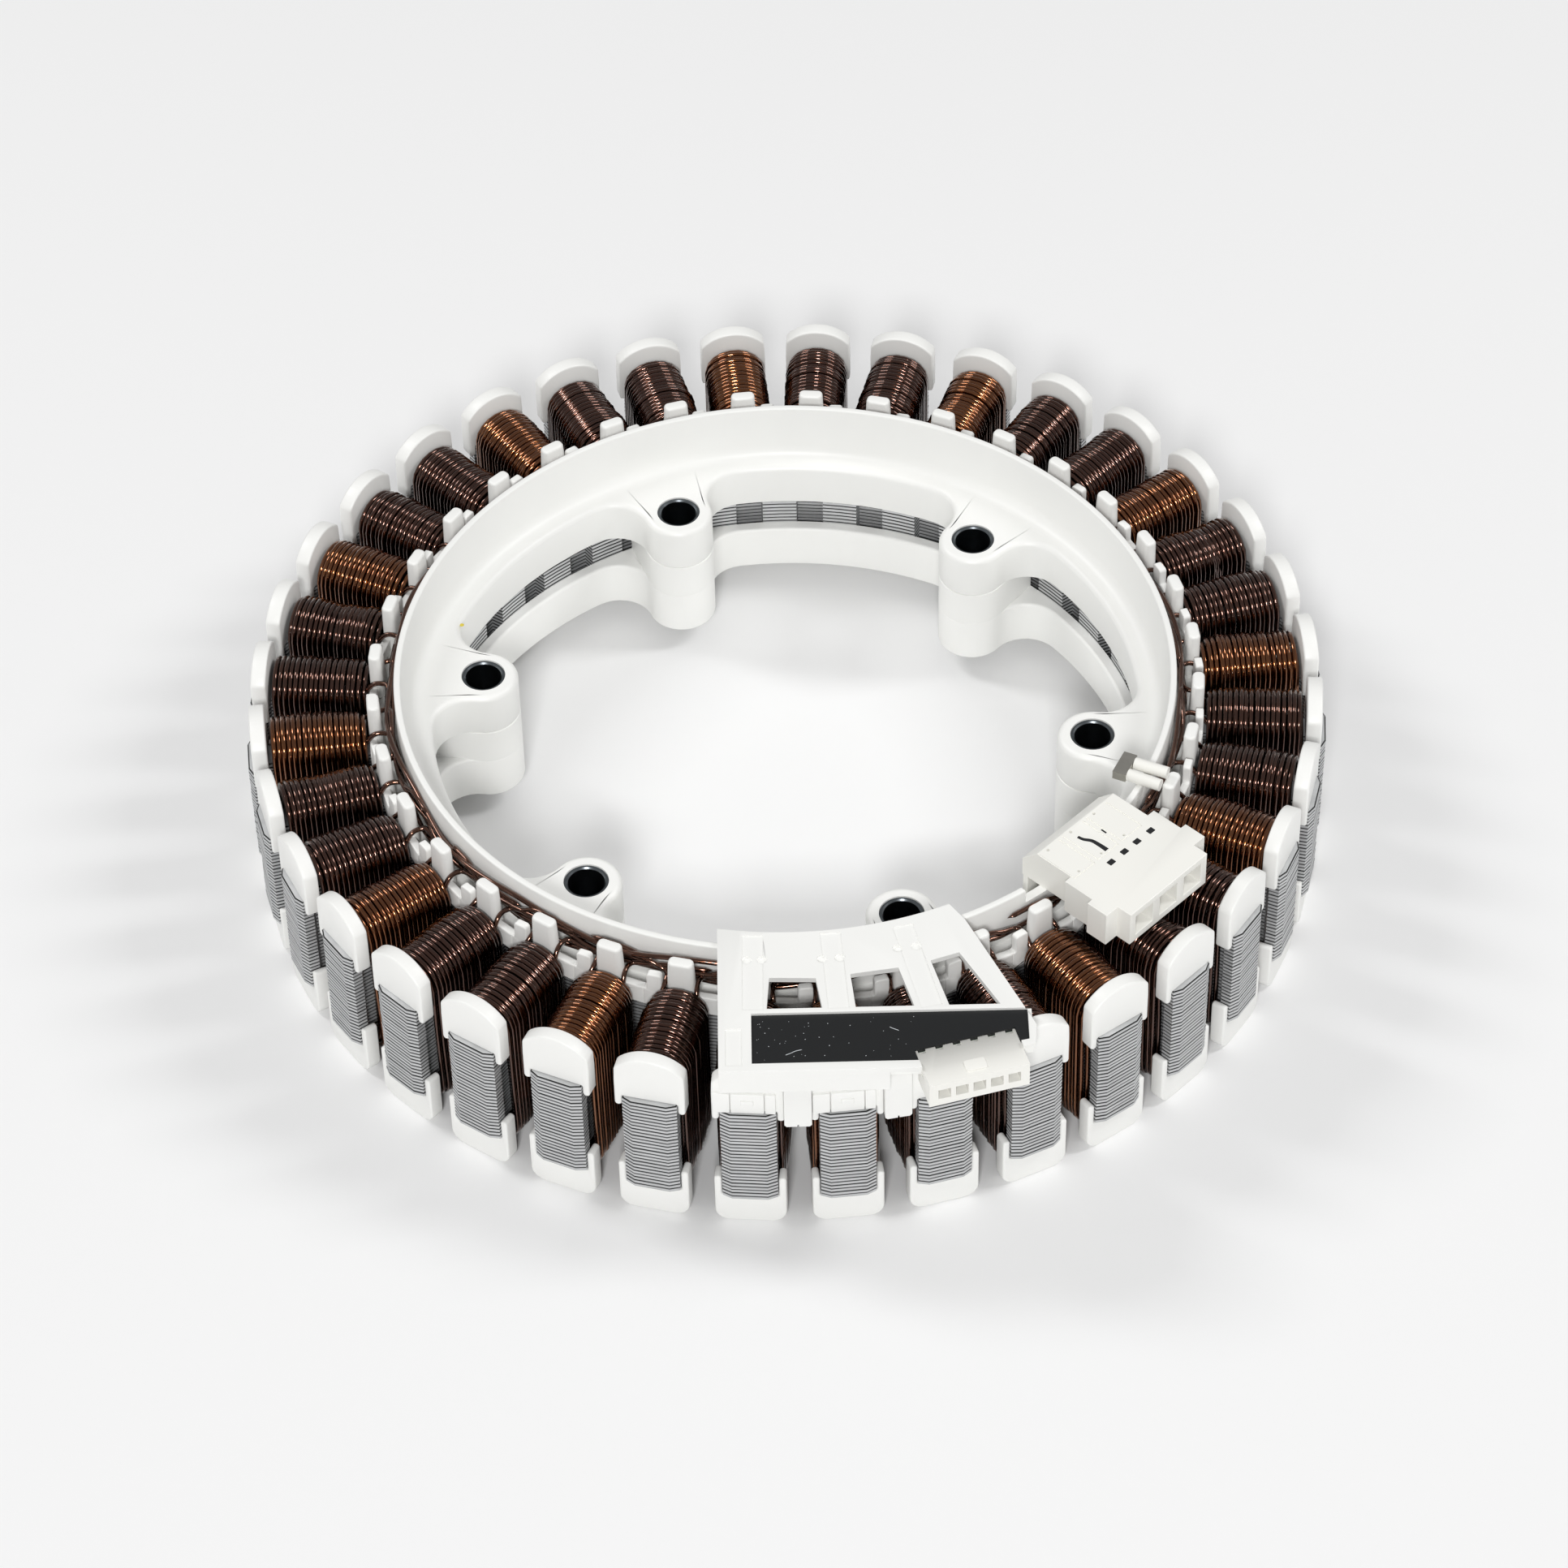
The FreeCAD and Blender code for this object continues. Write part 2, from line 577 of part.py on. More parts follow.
def in_housing(along, share):
    """Plan coordinates of a place along the rim and at a share of the way from the rear to the front."""
    return (HOUSING_REAR_RADIUS + share * PLATE_DEPTH, along)


def pocket_outline(inset=0.0):
    """The potted pocket in plan, drawn in by an even margin."""
    wire = closed_wire([V(*in_housing(along, share), 0) for along, share in POCKET])
    if inset == 0.0:
        return wire
    return wire.makeOffset2D(-inset, 2)


def pocket_plate(inset, z_from, z_to):
    wire = pocket_outline(inset)
    wire.translate(V(0, 0, z_from))
    return Part.Face(wire).extrude(V(0, 0, z_to - z_from))


def housing_plate():
    """The flat top of the housing: an arc along the rim, straight sides and a bevelled front."""
    rear_left = V(math.sqrt(HOUSING_REAR_RADIUS ** 2 - PLATE_LEFT ** 2), PLATE_LEFT, RIM_TOP_Z)
    rear_right_x = math.sqrt(HOUSING_REAR_RADIUS ** 2 - PLATE_REAR_END ** 2)
    rear_right = V(rear_right_x, PLATE_REAR_END, RIM_TOP_Z)
    corner_u, bevel_u, bevel_share = PLATE_CORNER
    step_radius = RIM_OUTER_RADIUS + PLATE_REAR_STEP
    step_x = math.sqrt(step_radius ** 2 - PLATE_RIGHT_REAR ** 2)
    straight = [
        rear_left,
        V(PLATE_FRONT, PLATE_LEFT, RIM_TOP_Z),
        V(PLATE_FRONT, corner_u, RIM_TOP_Z),
        V(*in_housing(bevel_u, bevel_share), RIM_TOP_Z),
        V(*in_housing(*PLATE_RIGHT), RIM_TOP_Z),
        V(step_x, PLATE_RIGHT_REAR, RIM_TOP_Z),
        rear_right,
    ]
    edges = [Part.LineSegment(a, b).toShape() for a, b in zip(straight[:-1], straight[1:])]
    middle = V(HOUSING_REAR_RADIUS, 0, RIM_TOP_Z)
    edges.append(Part.Arc(rear_right, middle, rear_left).toShape())
    return Part.Face(Part.Wire(edges)).extrude(V(0, 0, PLATE_THICKNESS))


def hook_lip():
    """The lip under the plate that reaches down inside the rim."""
    outer = RIM_OUTER_RADIUS - RIM_THICKNESS - HOOK_CLEARANCE
    inner = outer - HOOK_THICKNESS
    band = Part.makeCylinder(outer, HOOK_DEPTH, V(0, 0, RIM_TOP_Z - HOOK_DEPTH))
    band = band.cut(Part.makeCylinder(inner, HOOK_DEPTH, V(0, 0, RIM_TOP_Z - HOOK_DEPTH)))
    reach = block(0, RIM_OUTER_RADIUS, PLATE_LEFT, PLATE_REAR_END - HOOK_END_SETBACK, 0, RIM_TOP_Z)
    return band.common(reach)


def tongue():
    """A hollow finger, drawn along +X, that hangs in a slot and holds a Hall sensor."""
    front_back = TONGUE_FACE_RADIUS - TONGUE_FRONT_THICKNESS
    front = TONGUE_FRONT_WIDTH / 2
    back = TONGUE_BACK_WIDTH / 2
    outline = [
        (TONGUE_FACE_RADIUS, -front),
        (TONGUE_FACE_RADIUS, front),
        (front_back, front),
        (front_back, back),
        (TONGUE_BACK_RADIUS, back),
        (TONGUE_BACK_RADIUS, -back),
        (front_back, -back),
        (front_back, -front),
    ]
    return flat_plate(outline, TONGUE_BOTTOM_Z, TRAY_BOTTOM_Z)


def sensor_slot(index):
    """The angle of the slot after a tooth, measured in the housing's own frame."""
    return tooth_angle(index) + PITCH_DEG / 2


def hall_pocket():
    depth, width, height = SENSOR_SIZE
    face = TONGUE_FACE_RADIUS - TONGUE_FRONT_THICKNESS
    floor_z = TONGUE_BOTTOM_Z + TONGUE_FRONT_THICKNESS
    return block(
        face - depth - FIT, face + FIT, -width / 2 - FIT, width / 2 + FIT,
        floor_z, TRAY_BOTTOM_Z + TRAY_FLOOR_THICKNESS,
    )


def hall_sensor():
    """A Hall sensor package with its leads, standing in the tongue."""
    depth, width, height = SENSOR_SIZE
    lead_depth, lead_share = SENSOR_LEAD
    lead_width = lead_share * width
    face = TONGUE_FACE_RADIUS - TONGUE_FRONT_THICKNESS
    foot_z = TONGUE_BOTTOM_Z + TONGUE_FRONT_THICKNESS
    body = block(face - depth, face, -width / 2, width / 2, foot_z, foot_z + height)
    lead_x = face - depth / 2
    leads = block(
        lead_x - lead_depth / 2, lead_x + lead_depth / 2, -lead_width / 2, lead_width / 2,
        foot_z + height, TRAY_BOTTOM_Z + TRAY_FLOOR_THICKNESS,
    )
    return body.fuse(leads).removeSplitter()


def sensor_housing():
    """The white carrier of the position sensors: plate, windows, potted tray and two tongues."""
    plate = turned(housing_plate(), HOUSING_DEG)
    tray = turned(pocket_plate(-TRAY_WALL, TRAY_BOTTOM_Z, RIM_TOP_Z), HOUSING_DEG)
    front = block(
        PLATE_FRONT - FRONT_WALL_THICKNESS, PLATE_FRONT, PLATE_LEFT, FRONT_WALL_END,
        FRONT_WALL_BOTTOM_Z, RIM_TOP_Z,
    )
    tongues = [turned(tongue(), sensor_slot(i)) for i in SENSOR_SLOTS]
    body = plate.fuse([tray, turned(front, HOUSING_DEG), turned(hook_lip(), HOUSING_DEG)] + tongues)
    hollow = pocket_plate(0.0, TRAY_BOTTOM_Z + TRAY_FLOOR_THICKNESS, PLATE_TOP_Z)
    cuts = [turned(hollow, HOUSING_DEG), signal_passage()]
    for window in WINDOWS:
        corners = [in_housing(along, share) for along, share in window]
        opening = flat_plate(corners, RIM_TOP_Z, PLATE_TOP_Z)
        cuts.append(turned(opening, HOUSING_DEG))
    cuts += [turned(hall_pocket(), sensor_slot(i)) for i in SENSOR_SLOTS]
    return body.cut(cuts).removeSplitter()


def sensor_board():
    """The circuit board on the tray floor, clear of the connector's tail."""
    floor_z = TRAY_BOTTOM_Z + TRAY_FLOOR_THICKNESS
    board = turned(pocket_plate(4 * FIT, floor_z, floor_z + BOARD_THICKNESS), HOUSING_DEG)
    return board.cut(signal_passage(2 * FIT))


def sensor_potting():
    """Black resin over the board, filling the tray nearly to the brim."""
    level_z = TRAY_BOTTOM_Z + TRAY_FLOOR_THICKNESS + BOARD_THICKNESS
    fill = turned(pocket_plate(FIT, level_z, POTTING_TOP_Z), HOUSING_DEG)
    return fill.cut(signal_passage(FIT))


# ---------------------------------------------------------------- signal connector

def at_signal(shape):
    return turned(shape, tooth_angle(SIGNAL_TOOTH))


def signal_span(margin=0.0):
    low = SIGNAL_OFFSET - SIGNAL_WIDTH / 2 - margin
    return low, low + SIGNAL_WIDTH + 2 * margin


def signal_passage(margin=0.0):
    """The way that the connector's tail takes over the tray's edge."""
    low, high = signal_span(margin + FIT)
    floor_z = TRAY_BOTTOM_Z + TRAY_FLOOR_THICKNESS
    far = SIGNAL_FACE_RADIUS
    return at_signal(block(SIGNAL_TAIL_RADIUS - margin, far, low, high, floor_z, PLATE_TOP_Z))


def signal_row(size):
    """Across and upright limits of each socket, or of each pin, in the connector's row."""
    middle_z = (SIGNAL_BOTTOM_Z + SIGNAL_TOP_Z) / 2
    row = []
    for way in range(SIGNAL_WAYS):
        y = SIGNAL_OFFSET + SIGNAL_PITCH * (way - (SIGNAL_WAYS - 1) / 2)
        half = size / 2
        row.append((y - half, y + half, middle_z - half, middle_z + half))
    return row


def sensor_connector():
    """A five-way header: its tail lies on the board and its body hangs outside the tray."""
    low, high = signal_span()
    tray_z = TRAY_BOTTOM_Z - FIT
    floor_z = TRAY_BOTTOM_Z + TRAY_FLOOR_THICKNESS
    body = block(SIGNAL_BACK_RADIUS, SIGNAL_FACE_RADIUS, low, high, SIGNAL_BOTTOM_Z, tray_z)
    collar = block(SIGNAL_COLLAR_RADIUS, SIGNAL_FACE_RADIUS, low, high, SIGNAL_BOTTOM_Z, SIGNAL_TOP_Z)
    tail = block(SIGNAL_TAIL_RADIUS, SIGNAL_FACE_RADIUS, low, high, floor_z, SIGNAL_TOP_Z)
    shape = body.fuse([collar, tail]).removeSplitter()
    floor_x = SIGNAL_FACE_RADIUS - SIGNAL_SOCKET_DEPTH
    sockets = [
        block(floor_x, SIGNAL_FACE_RADIUS, y0, y1, z0, z1)
        for y0, y1, z0, z1 in signal_row(SIGNAL_SOCKET)
    ]
    return at_signal(shape.cut(sockets))


def sensor_pins():
    """Five pins standing on the floors of the sockets."""
    floor_x = SIGNAL_FACE_RADIUS - SIGNAL_SOCKET_DEPTH
    pins = [
        block(floor_x, floor_x + SIGNAL_PIN_LENGTH, y0, y1, z0, z1)
        for y0, y1, z0, z1 in signal_row(SIGNAL_PIN)
    ]
    return at_signal(Part.makeCompound(pins))


# ---------------------------------------------------------------- power connector

def tall_pegs():
    return [i for i in range(TEETH) if i not in SHORT_PEGS]


def at_power(shape):
    return turned(shape, tooth_angle(POWER_TOOTH))


def power_gap():
    """The stretch of rim that the power connector replaces."""
    high = POWER_RIGHT + POWER_SHOULDER + 2 * FIT
    inner = RING_INNER_RADIUS - POWER_GAP_MARGIN
    return at_power(block(inner, BOBBIN_WALL_RADIUS, POWER_GAP_LEFT, high, POWER_BOTTOM_Z, RIM_TOP_Z))


def power_rows():
    """Across positions of the three ways, centred between the connector's sides."""
    middle = (POWER_LEFT + POWER_RIGHT) / 2
    return [middle + POWER_PITCH * (way - (POWER_WAYS - 1) / 2) for way in range(POWER_WAYS)]


def power_connector():
    """The three-way power housing: sloped inner end, side ears and square sockets."""
    top_z = POWER_BOTTOM_Z + POWER_HEIGHT
    flange_z = STACK_TOP_Z + FLANGE_THICKNESS
    profile = [
        V(POWER_FRONT, POWER_LEFT, POWER_BOTTOM_Z),
        V(POWER_FRONT, POWER_LEFT, top_z),
        V(POWER_BACK + POWER_SLOPE, POWER_LEFT, top_z),
        V(POWER_BACK, POWER_LEFT, top_z - POWER_SLOPE),
        V(POWER_BACK, POWER_LEFT, POWER_BOTTOM_Z),
    ]
    body = Part.Face(closed_wire(profile)).extrude(V(0, POWER_RIGHT - POWER_LEFT, 0))
    leg_x = RING_INNER_RADIUS + POWER_LEG_SETBACK
    leg_y = POWER_LEG_WIDTH / 2
    leg = block(leg_x, leg_x + POWER_LEG_THICKNESS, -leg_y, leg_y, flange_z, POWER_BOTTOM_Z)
    ears = [leg]
    for edge, way in ((POWER_LEFT, -1), (POWER_RIGHT, 1)):
        near, far = sorted((edge, edge + way * EAR_REACH))
        ears.append(block(POWER_SHOULDER_FRONT, EAR_FRONT, near, far, POWER_BOTTOM_Z, top_z))
        near, far = sorted((edge, edge + way * POWER_SHOULDER))
        ears.append(block(BOBBIN_WALL_RADIUS, POWER_SHOULDER_FRONT, near, far, POWER_BOTTOM_Z, top_z))
    body = body.fuse(ears).removeSplitter()
    middle_z = POWER_BOTTOM_Z + POWER_HEIGHT / 2
    half = POWER_SOCKET / 2
    floor_x = POWER_FRONT - POWER_SOCKET_DEPTH
    sockets = [
        block(floor_x, POWER_FRONT, y - half, y + half, middle_z - half, middle_z + half)
        for y in power_rows()
    ]
    return at_power(body.cut(sockets))


def power_terminals():
    """Three flat blades standing on the floors of the power sockets."""
    length, width, thickness = POWER_BLADE
    middle_z = POWER_BOTTOM_Z + POWER_HEIGHT / 2
    floor_x = POWER_FRONT - POWER_SOCKET_DEPTH
    blades = [
        block(floor_x, floor_x + length, y - width / 2, y + width / 2,
              middle_z - thickness / 2, middle_z + thickness / 2)
        for y in power_rows()
    ]
    return at_power(Part.makeCompound(blades))


# ---------------------------------------------------------------- splice

def splice_sleeve():
    """An insulating sleeve that lies across the rim, with its inner end past the rim's wall."""
    inner_end = RIM_OUTER_RADIUS - RIM_THICKNESS - SPLICE_OVERHANG
    foot = V(inner_end, 0, RIM_TOP_Z + SPLICE_SLEEVE_RADIUS)
    return Part.makeCylinder(SPLICE_SLEEVE_RADIUS, SPLICE_SLEEVE_LENGTH, foot, V(1, 0, 0))


def splice_terminal():
    """The crimped terminal that joins the two sleeves' wires, inside the rim."""
    depth, width, height = SPLICE_CRIMP
    outer = RIM_OUTER_RADIUS - RIM_THICKNESS - SPLICE_OVERHANG - SEAM_GAP
    middle_z = RIM_TOP_Z + SPLICE_SLEEVE_RADIUS
    crimp = block(outer - depth, outer, -width / 2, width / 2, middle_z - height / 2, middle_z + height / 2)
    return turned(crimp, sum(SPLICE_DEG) / len(SPLICE_DEG))


# ---------------------------------------------------------------- write the parts

def save(name, shape):
    shape.exportStep(os.path.join("parts", name + ".step"))


def main():
    os.makedirs("parts", exist_ok=True)
    save("lamination_core", lamination_core())
    save("upper_insulator", upper_insulator())
    save("lower_insulator", lower_insulator())
    save("bolt_sleeves", bolt_sleeves())
    one_coil = coil()
    for index in range(TEETH):
        phase = PHASES[(index + 2) % 3]
        name = "coil_{}_{:02d}".format(phase, index // 3 + 1)
        save(name, turned(one_coil, tooth_angle(index)))
    for phase, level in zip(PHASES, CROSSOVER_LEVELS):
        save("crossover_" + phase, crossover_wire(level))
    save("sensor_housing", sensor_housing())
    save("sensor_board", sensor_board())
    save("sensor_potting", sensor_potting())
    save("hall_sensors", Part.makeCompound([turned(hall_sensor(), sensor_slot(i)) for i in SENSOR_SLOTS]))
    save("sensor_connector", sensor_connector())
    save("sensor_pins", sensor_pins())
    save("power_connector", power_connector())
    save("power_terminals", power_terminals())
    save("splice_terminal", splice_terminal())
    save("splice_sleeves", Part.makeCompound([turned(splice_sleeve(), angle) for angle in SPLICE_DEG]))


main()
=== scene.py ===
import json
import math

import bmesh
import bpy
import numpy as np
from bpy.props import FloatProperty, FloatVectorProperty, IntProperty, PointerProperty, StringProperty
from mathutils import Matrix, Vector

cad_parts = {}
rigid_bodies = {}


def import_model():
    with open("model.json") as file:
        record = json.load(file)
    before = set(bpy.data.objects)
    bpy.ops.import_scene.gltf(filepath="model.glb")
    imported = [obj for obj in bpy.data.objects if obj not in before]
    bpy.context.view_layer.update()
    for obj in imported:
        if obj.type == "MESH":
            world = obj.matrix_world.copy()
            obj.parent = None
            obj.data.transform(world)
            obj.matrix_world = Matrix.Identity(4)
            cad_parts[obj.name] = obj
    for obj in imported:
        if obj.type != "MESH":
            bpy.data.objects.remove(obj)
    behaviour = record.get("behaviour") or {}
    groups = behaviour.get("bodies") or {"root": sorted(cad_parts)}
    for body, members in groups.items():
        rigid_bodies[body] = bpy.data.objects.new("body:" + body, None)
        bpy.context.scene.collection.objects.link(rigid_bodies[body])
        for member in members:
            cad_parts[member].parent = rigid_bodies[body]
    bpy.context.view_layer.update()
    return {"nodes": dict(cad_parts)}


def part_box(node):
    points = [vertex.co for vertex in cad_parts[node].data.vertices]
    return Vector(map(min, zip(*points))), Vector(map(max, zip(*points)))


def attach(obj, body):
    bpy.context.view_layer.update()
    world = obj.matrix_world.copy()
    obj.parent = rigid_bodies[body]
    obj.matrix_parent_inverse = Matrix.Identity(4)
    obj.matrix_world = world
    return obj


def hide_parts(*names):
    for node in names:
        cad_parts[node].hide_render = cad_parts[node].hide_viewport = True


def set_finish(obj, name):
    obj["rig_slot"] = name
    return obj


bl_info = {
    "name": "Wound stator",
    "version": (1, 0, 0),
    "blender": (4, 5, 0),
    "location": "View3D > Sidebar > Stator",
    "description": "Builds the visible pieces of a wound direct-drive stator round its solid model",
    "category": "Mesh",
}

# The solid model is the fixed frame: every piece is worked out in its millimetres and laid over it.
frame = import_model()
METRES = 0.001


def height_of(name, corner):
    """The lowest (0) or highest (1) point of a solid, in millimetres."""
    return round(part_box(name)[corner].z / METRES, 3)


TEETH = 36
PITCH = math.radians(360.0 / TEETH)
FIRST_TOOTH = math.radians(-85.0)
BOLTS = 6
STACK_BOTTOM = height_of("lamination_core", 0)
STACK_TOP = height_of("lamination_core", 1)
HOUSING_PLATE = 1.5
RIM_TOP = height_of("sensor_housing", 1) - HOUSING_PLATE
PHASES = ("u", "v", "w")
POWER_TOOTH = 5
SIGNAL_TOOTH = 2
HOUSING_TURN = math.radians(-80.3)
CLEAR_ABOVE = 60.0  # over everything that is cut from above

# Laminations: radii, half widths of neck and pole head, groove at a joint and scatter of the sheets
YOKE_RADIUS, BORE, NOTCH = 101.0, 91.0, 94.5
NECK_HALF, TIP_HALF = 3.5, 6.6
TIP_CHAMFER, TIP_SIDE, TIP_BACK = 1.1, 2.6, 128.8
JOINT_DEPTH, SHEET_SLIP = 0.34, 0.05

# Insulators: heights, radii of the ring walls' faces, bosses, caps and the seat of the power connector
FLANGE_TOP, CHANNEL_FLOOR = STACK_TOP + 1.7, STACK_TOP + 2.0
WALL_BACK, WALL_FRONT, FLANGE_EDGE = 90.9, 102.5, 1.5
BOSS_RADIUS, BOSS_FILLET, SLEEVE_RADIUS = 8.7, 9.0, 5.5
CAP_HALF, LEG_INSIDE, POWER_SEAT = 8.5, 6.7, 51.0
COIL_HALF = 8.0


# ---------------------------------------------------------------- properties

class STATOR_PG_sizes(bpy.types.PropertyGroup):
    """Sizes that a user may change, in millimetres of the solid model."""
    laminations: IntProperty(name="Laminations", description="Sheets drawn in the stack", default=26, min=8)
    tip_radius: FloatProperty(name="Tip radius", description="Motor axis to pole face", default=134.0)
    cap_face: FloatProperty(name="Cap face", description="Motor axis to the caps' face", default=132.6)
    bolt_circle: FloatProperty(name="Bolt circle", description="Radius of the bolt circle", default=76.7)
    ring_inner: FloatProperty(name="Ring bore", description="Inner radius of the moulded ring", default=87.9)
    rim_outer: FloatProperty(name="Rim", description="Outer radius of the upper rim", default=96.65)
    bobbin_wall: FloatProperty(name="Bobbin wall", description="Motor axis to the coils' wall", default=103.5)
    wire: FloatProperty(name="Wire", description="Diameter of the enamelled wire", default=1.3, min=0.3)
    turns: IntProperty(name="Turns", description="Turns in a coil's outer layer", default=18, min=8)


class STATOR_PG_finishes(bpy.types.PropertyGroup):
    """Colours that a user may change, as sRGB hex values."""
    white: StringProperty(name="Moulding", description="White PBT mouldings", default="#F8F8F5")
    nylon: StringProperty(name="Connectors", description="White nylon connectors", default="#F8F7F1")
    steel: StringProperty(name="Sheet steel", description="Cut edges of electrical steel", default="#DADBDC")
    copper: StringProperty(name="Brown wire", description="Copper under brown enamel", default="#5A3524")
    amber: StringProperty(name="Amber wire", description="Copper under amber enamel", default="#88501F")
    resin: StringProperty(name="Potting", description="Black potting resin", default="#0F1113")


class STATOR_PG_stage(bpy.types.PropertyGroup):
    """Camera and light."""
    place: FloatVectorProperty(name="Camera", description="Camera position", unit="LENGTH",
                               default=(0.15414, -0.89986, 0.93866))
    turn: FloatVectorProperty(name="Camera turn", description="Camera rotation", subtype="EULER",
                              default=tuple(math.radians(a) for a in (44.5863, 0.9515, 8.8116)))
    lens: FloatProperty(name="Lens", description="Focal length in millimetres, 36 mm sensor", default=118.116)
    floor: StringProperty(name="Floor", description="Colour of floor and backdrop", default="#F4F4F4")
    ambient: FloatProperty(name="Ambient", description="Strength of the even light all round", default=0.325)


# ---------------------------------------------------------------- surfaces

def grid_quads(rows, cols, wrap_rows=False, wrap_cols=False):
    """Corner numbers of the cells of a rows-by-cols grid, closed on itself where asked."""
    r, c = np.meshgrid(np.arange(rows - (not wrap_rows)), np.arange(cols - (not wrap_cols)), indexing="ij")
    r2, c2 = (r + 1) % rows, (c + 1) % cols
    return np.stack([r * cols + c, r * cols + c2, r2 * cols + c2, r2 * cols + c], -1).reshape(-1, 4)


def left_normals(outline):
    """At each point of a closed outline, its two sides' left normals added and divided by one plus their
    product."""
    behind = outline - np.roll(outline, 1, 0)
    ahead = np.roll(outline, -1, 0) - outline
    behind /= np.linalg.norm(behind, axis=1, keepdims=True)
    ahead /= np.linalg.norm(ahead, axis=1, keepdims=True)
    one = np.stack([-behind[:, 1], behind[:, 0]], 1)
    two = np.stack([-ahead[:, 1], ahead[:, 0]], 1)
    return (one + two) / (1.0 + (one * two).sum(1, keepdims=True))


def anticlockwise(outline):
    """The outline, turned round where the shoelace sum of its sides is negative."""
    ahead = np.roll(outline, -1, 0)
    area = (outline[:, 0] * ahead[:, 1] - outline[:, 1] * ahead[:, 0]).sum()
    return outline if area > 0 else outline[::-1]


def round_corners(points, radius, steps=4):
    """Each corner becomes an arc that touches both sides: its centre lies on the bisector at radius over
    the sine of half the corner angle, and its points are turned evenly between the two touching points."""
    points = anticlockwise(np.asarray(points, float))
    radius = np.broadcast_to(np.asarray(radius, float), len(points)).copy()
    back = np.roll(points, 1, 0) - points
    on = np.roll(points, -1, 0) - points
    shortest = np.minimum(np.linalg.norm(back, axis=1), np.linalg.norm(on, axis=1))
    back /= np.linalg.norm(back, axis=1, keepdims=True)
    on /= np.linalg.norm(on, axis=1, keepdims=True)
    half = np.arccos(np.clip((back * on).sum(1), -1, 1)) / 2
    radius = np.minimum(radius, 0.48 * shortest * np.tan(half))[:, None]
    bisector = back + on
    bisector /= np.linalg.norm(bisector, axis=1, keepdims=True) + 1e-12
    centre = points + bisector * radius / np.sin(half)[:, None]
    start = points + back * radius / np.tan(half)[:, None] - centre
    end = points + on * radius / np.tan(half)[:, None] - centre
    t = np.linspace(0, 1, steps)[None, :, None]
    arc = start[:, None] * (1 - t) + end[:, None] * t
    arc *= radius[:, None] / (np.linalg.norm(arc, axis=2, keepdims=True) + 1e-12)
    return (centre[:, None] + arc).reshape(-1, 2)


def soft_prism(outline, low, high, edge=0.4, axis=0, steps=3, top_scale=1.0, pivot=(0.0, 0.0)):
    """A closed outline carried along an axis: over the last stretch at each end it shrinks by edge times one
    minus the sine of the station's angle, a quarter circle, and it may taper towards a pivot."""
    outline = anticlockwise(np.asarray(outline, float))
    inward = left_normals(outline)
    a = np.linspace(0, math.pi / 2, steps + 1)
    inset = np.concatenate([edge * (1 - np.sin(a)), (edge * (1 - np.sin(a)))[::-1]])
    level = np.concatenate([low + edge * (1 - np.cos(a)), (high - edge * (1 - np.cos(a)))[::-1]])
    plan = outline[None] + inward[None] * inset[:, None, None]
    if top_scale != 1.0:
        share = ((level - low) / (high - low))[:, None, None]
        plan = pivot + (plan - pivot) * (1 + (top_scale - 1) * share)
    along = np.broadcast_to(level[:, None], plan.shape[:2])
    order = [(along, plan[..., 0], plan[..., 1]), (plan[..., 0], along, plan[..., 1]),
             (plan[..., 0], plan[..., 1], along)][axis]
    rows, cols = plan.shape[:2]
    ends = np.arange(cols)
    return {"v": np.stack(order, -1).reshape(-1, 3), "q": grid_quads(rows, cols, wrap_cols=True),
            "n": [ends[None, ::-1], ((rows - 1) * cols + ends)[None]]}


def box_outline(a0, a1, b0, b1):
    return [(a0, b0), (a1, b0), (a1, b1), (a0, b1)]


def slab(outline, low, high, edge=0.01):
    """An upright prism with edges broken by a hair."""
    return soft_prism(outline, low, high, edge, axis=2, steps=1)


def strip(start, end, width, low, high, edge=0.05):
    """A narrow slab along a line in plan: half the width lies on either side."""
    start, end = np.array(start, float), np.array(end, float)
    way = (end - start) / np.linalg.norm(end - start)
    side = np.array([-way[1], way[0]]) * width / 2
    return slab([start - side, end - side, end + side, start + side], low, high, edge)


def disc(centre, radius, low, high, sides=20, edge=0.05):
    """A round slab."""
    a = np.linspace(0, 2 * math.pi, sides, endpoint=False)
    plan = np.stack([centre[0] + radius * np.cos(a), centre[1] + radius * np.sin(a)], 1)
    return slab(plan, low, high, edge)


def spun(points, angles):
    """Plan points turned about the motor axis by each angle: x cos - y sin and x sin + y cos."""
    c, s = np.cos(angles), np.sin(angles)
    turn = np.stack([np.stack([c, s], -1), np.stack([-s, c], -1)], -2)
    return np.einsum("pi,kij->kpj", points, turn)


def around(shell, angles):
    """Copies of a shell turned about the motor axis, as one shell."""
    plan = spun(shell["v"][:, :2], np.asarray(angles, float))
    v = np.concatenate([plan, np.broadcast_to(shell["v"][:, 2:], plan.shape[:2] + (1,))], -1)
    step = (np.arange(len(angles)) * len(shell["v"]))[:, None, None]
    return {"v": v.reshape(-1, 3), "q": (shell["q"][None] + step).reshape(-1, 4),
            "n": [(n[None] + step).reshape(-1, n.shape[1]) for n in shell["n"]]}


def turned(shell, angle):
    return around(shell, [angle])


def tooth_angles():
    return FIRST_TOOTH + PITCH * np.arange(TEETH)


def bolt_angles():
    return np.arange(BOLTS) * math.pi / 3


def at_tooth(shell, tooth):
    return turned(shell, FIRST_TOOTH + PITCH * tooth)


def at_teeth(shell):
    return around(shell, tooth_angles())


def at_bolts(shell):
    return around(shell, bolt_angles())


def at_housing(shell):
    return turned(shell, HOUSING_TURN)


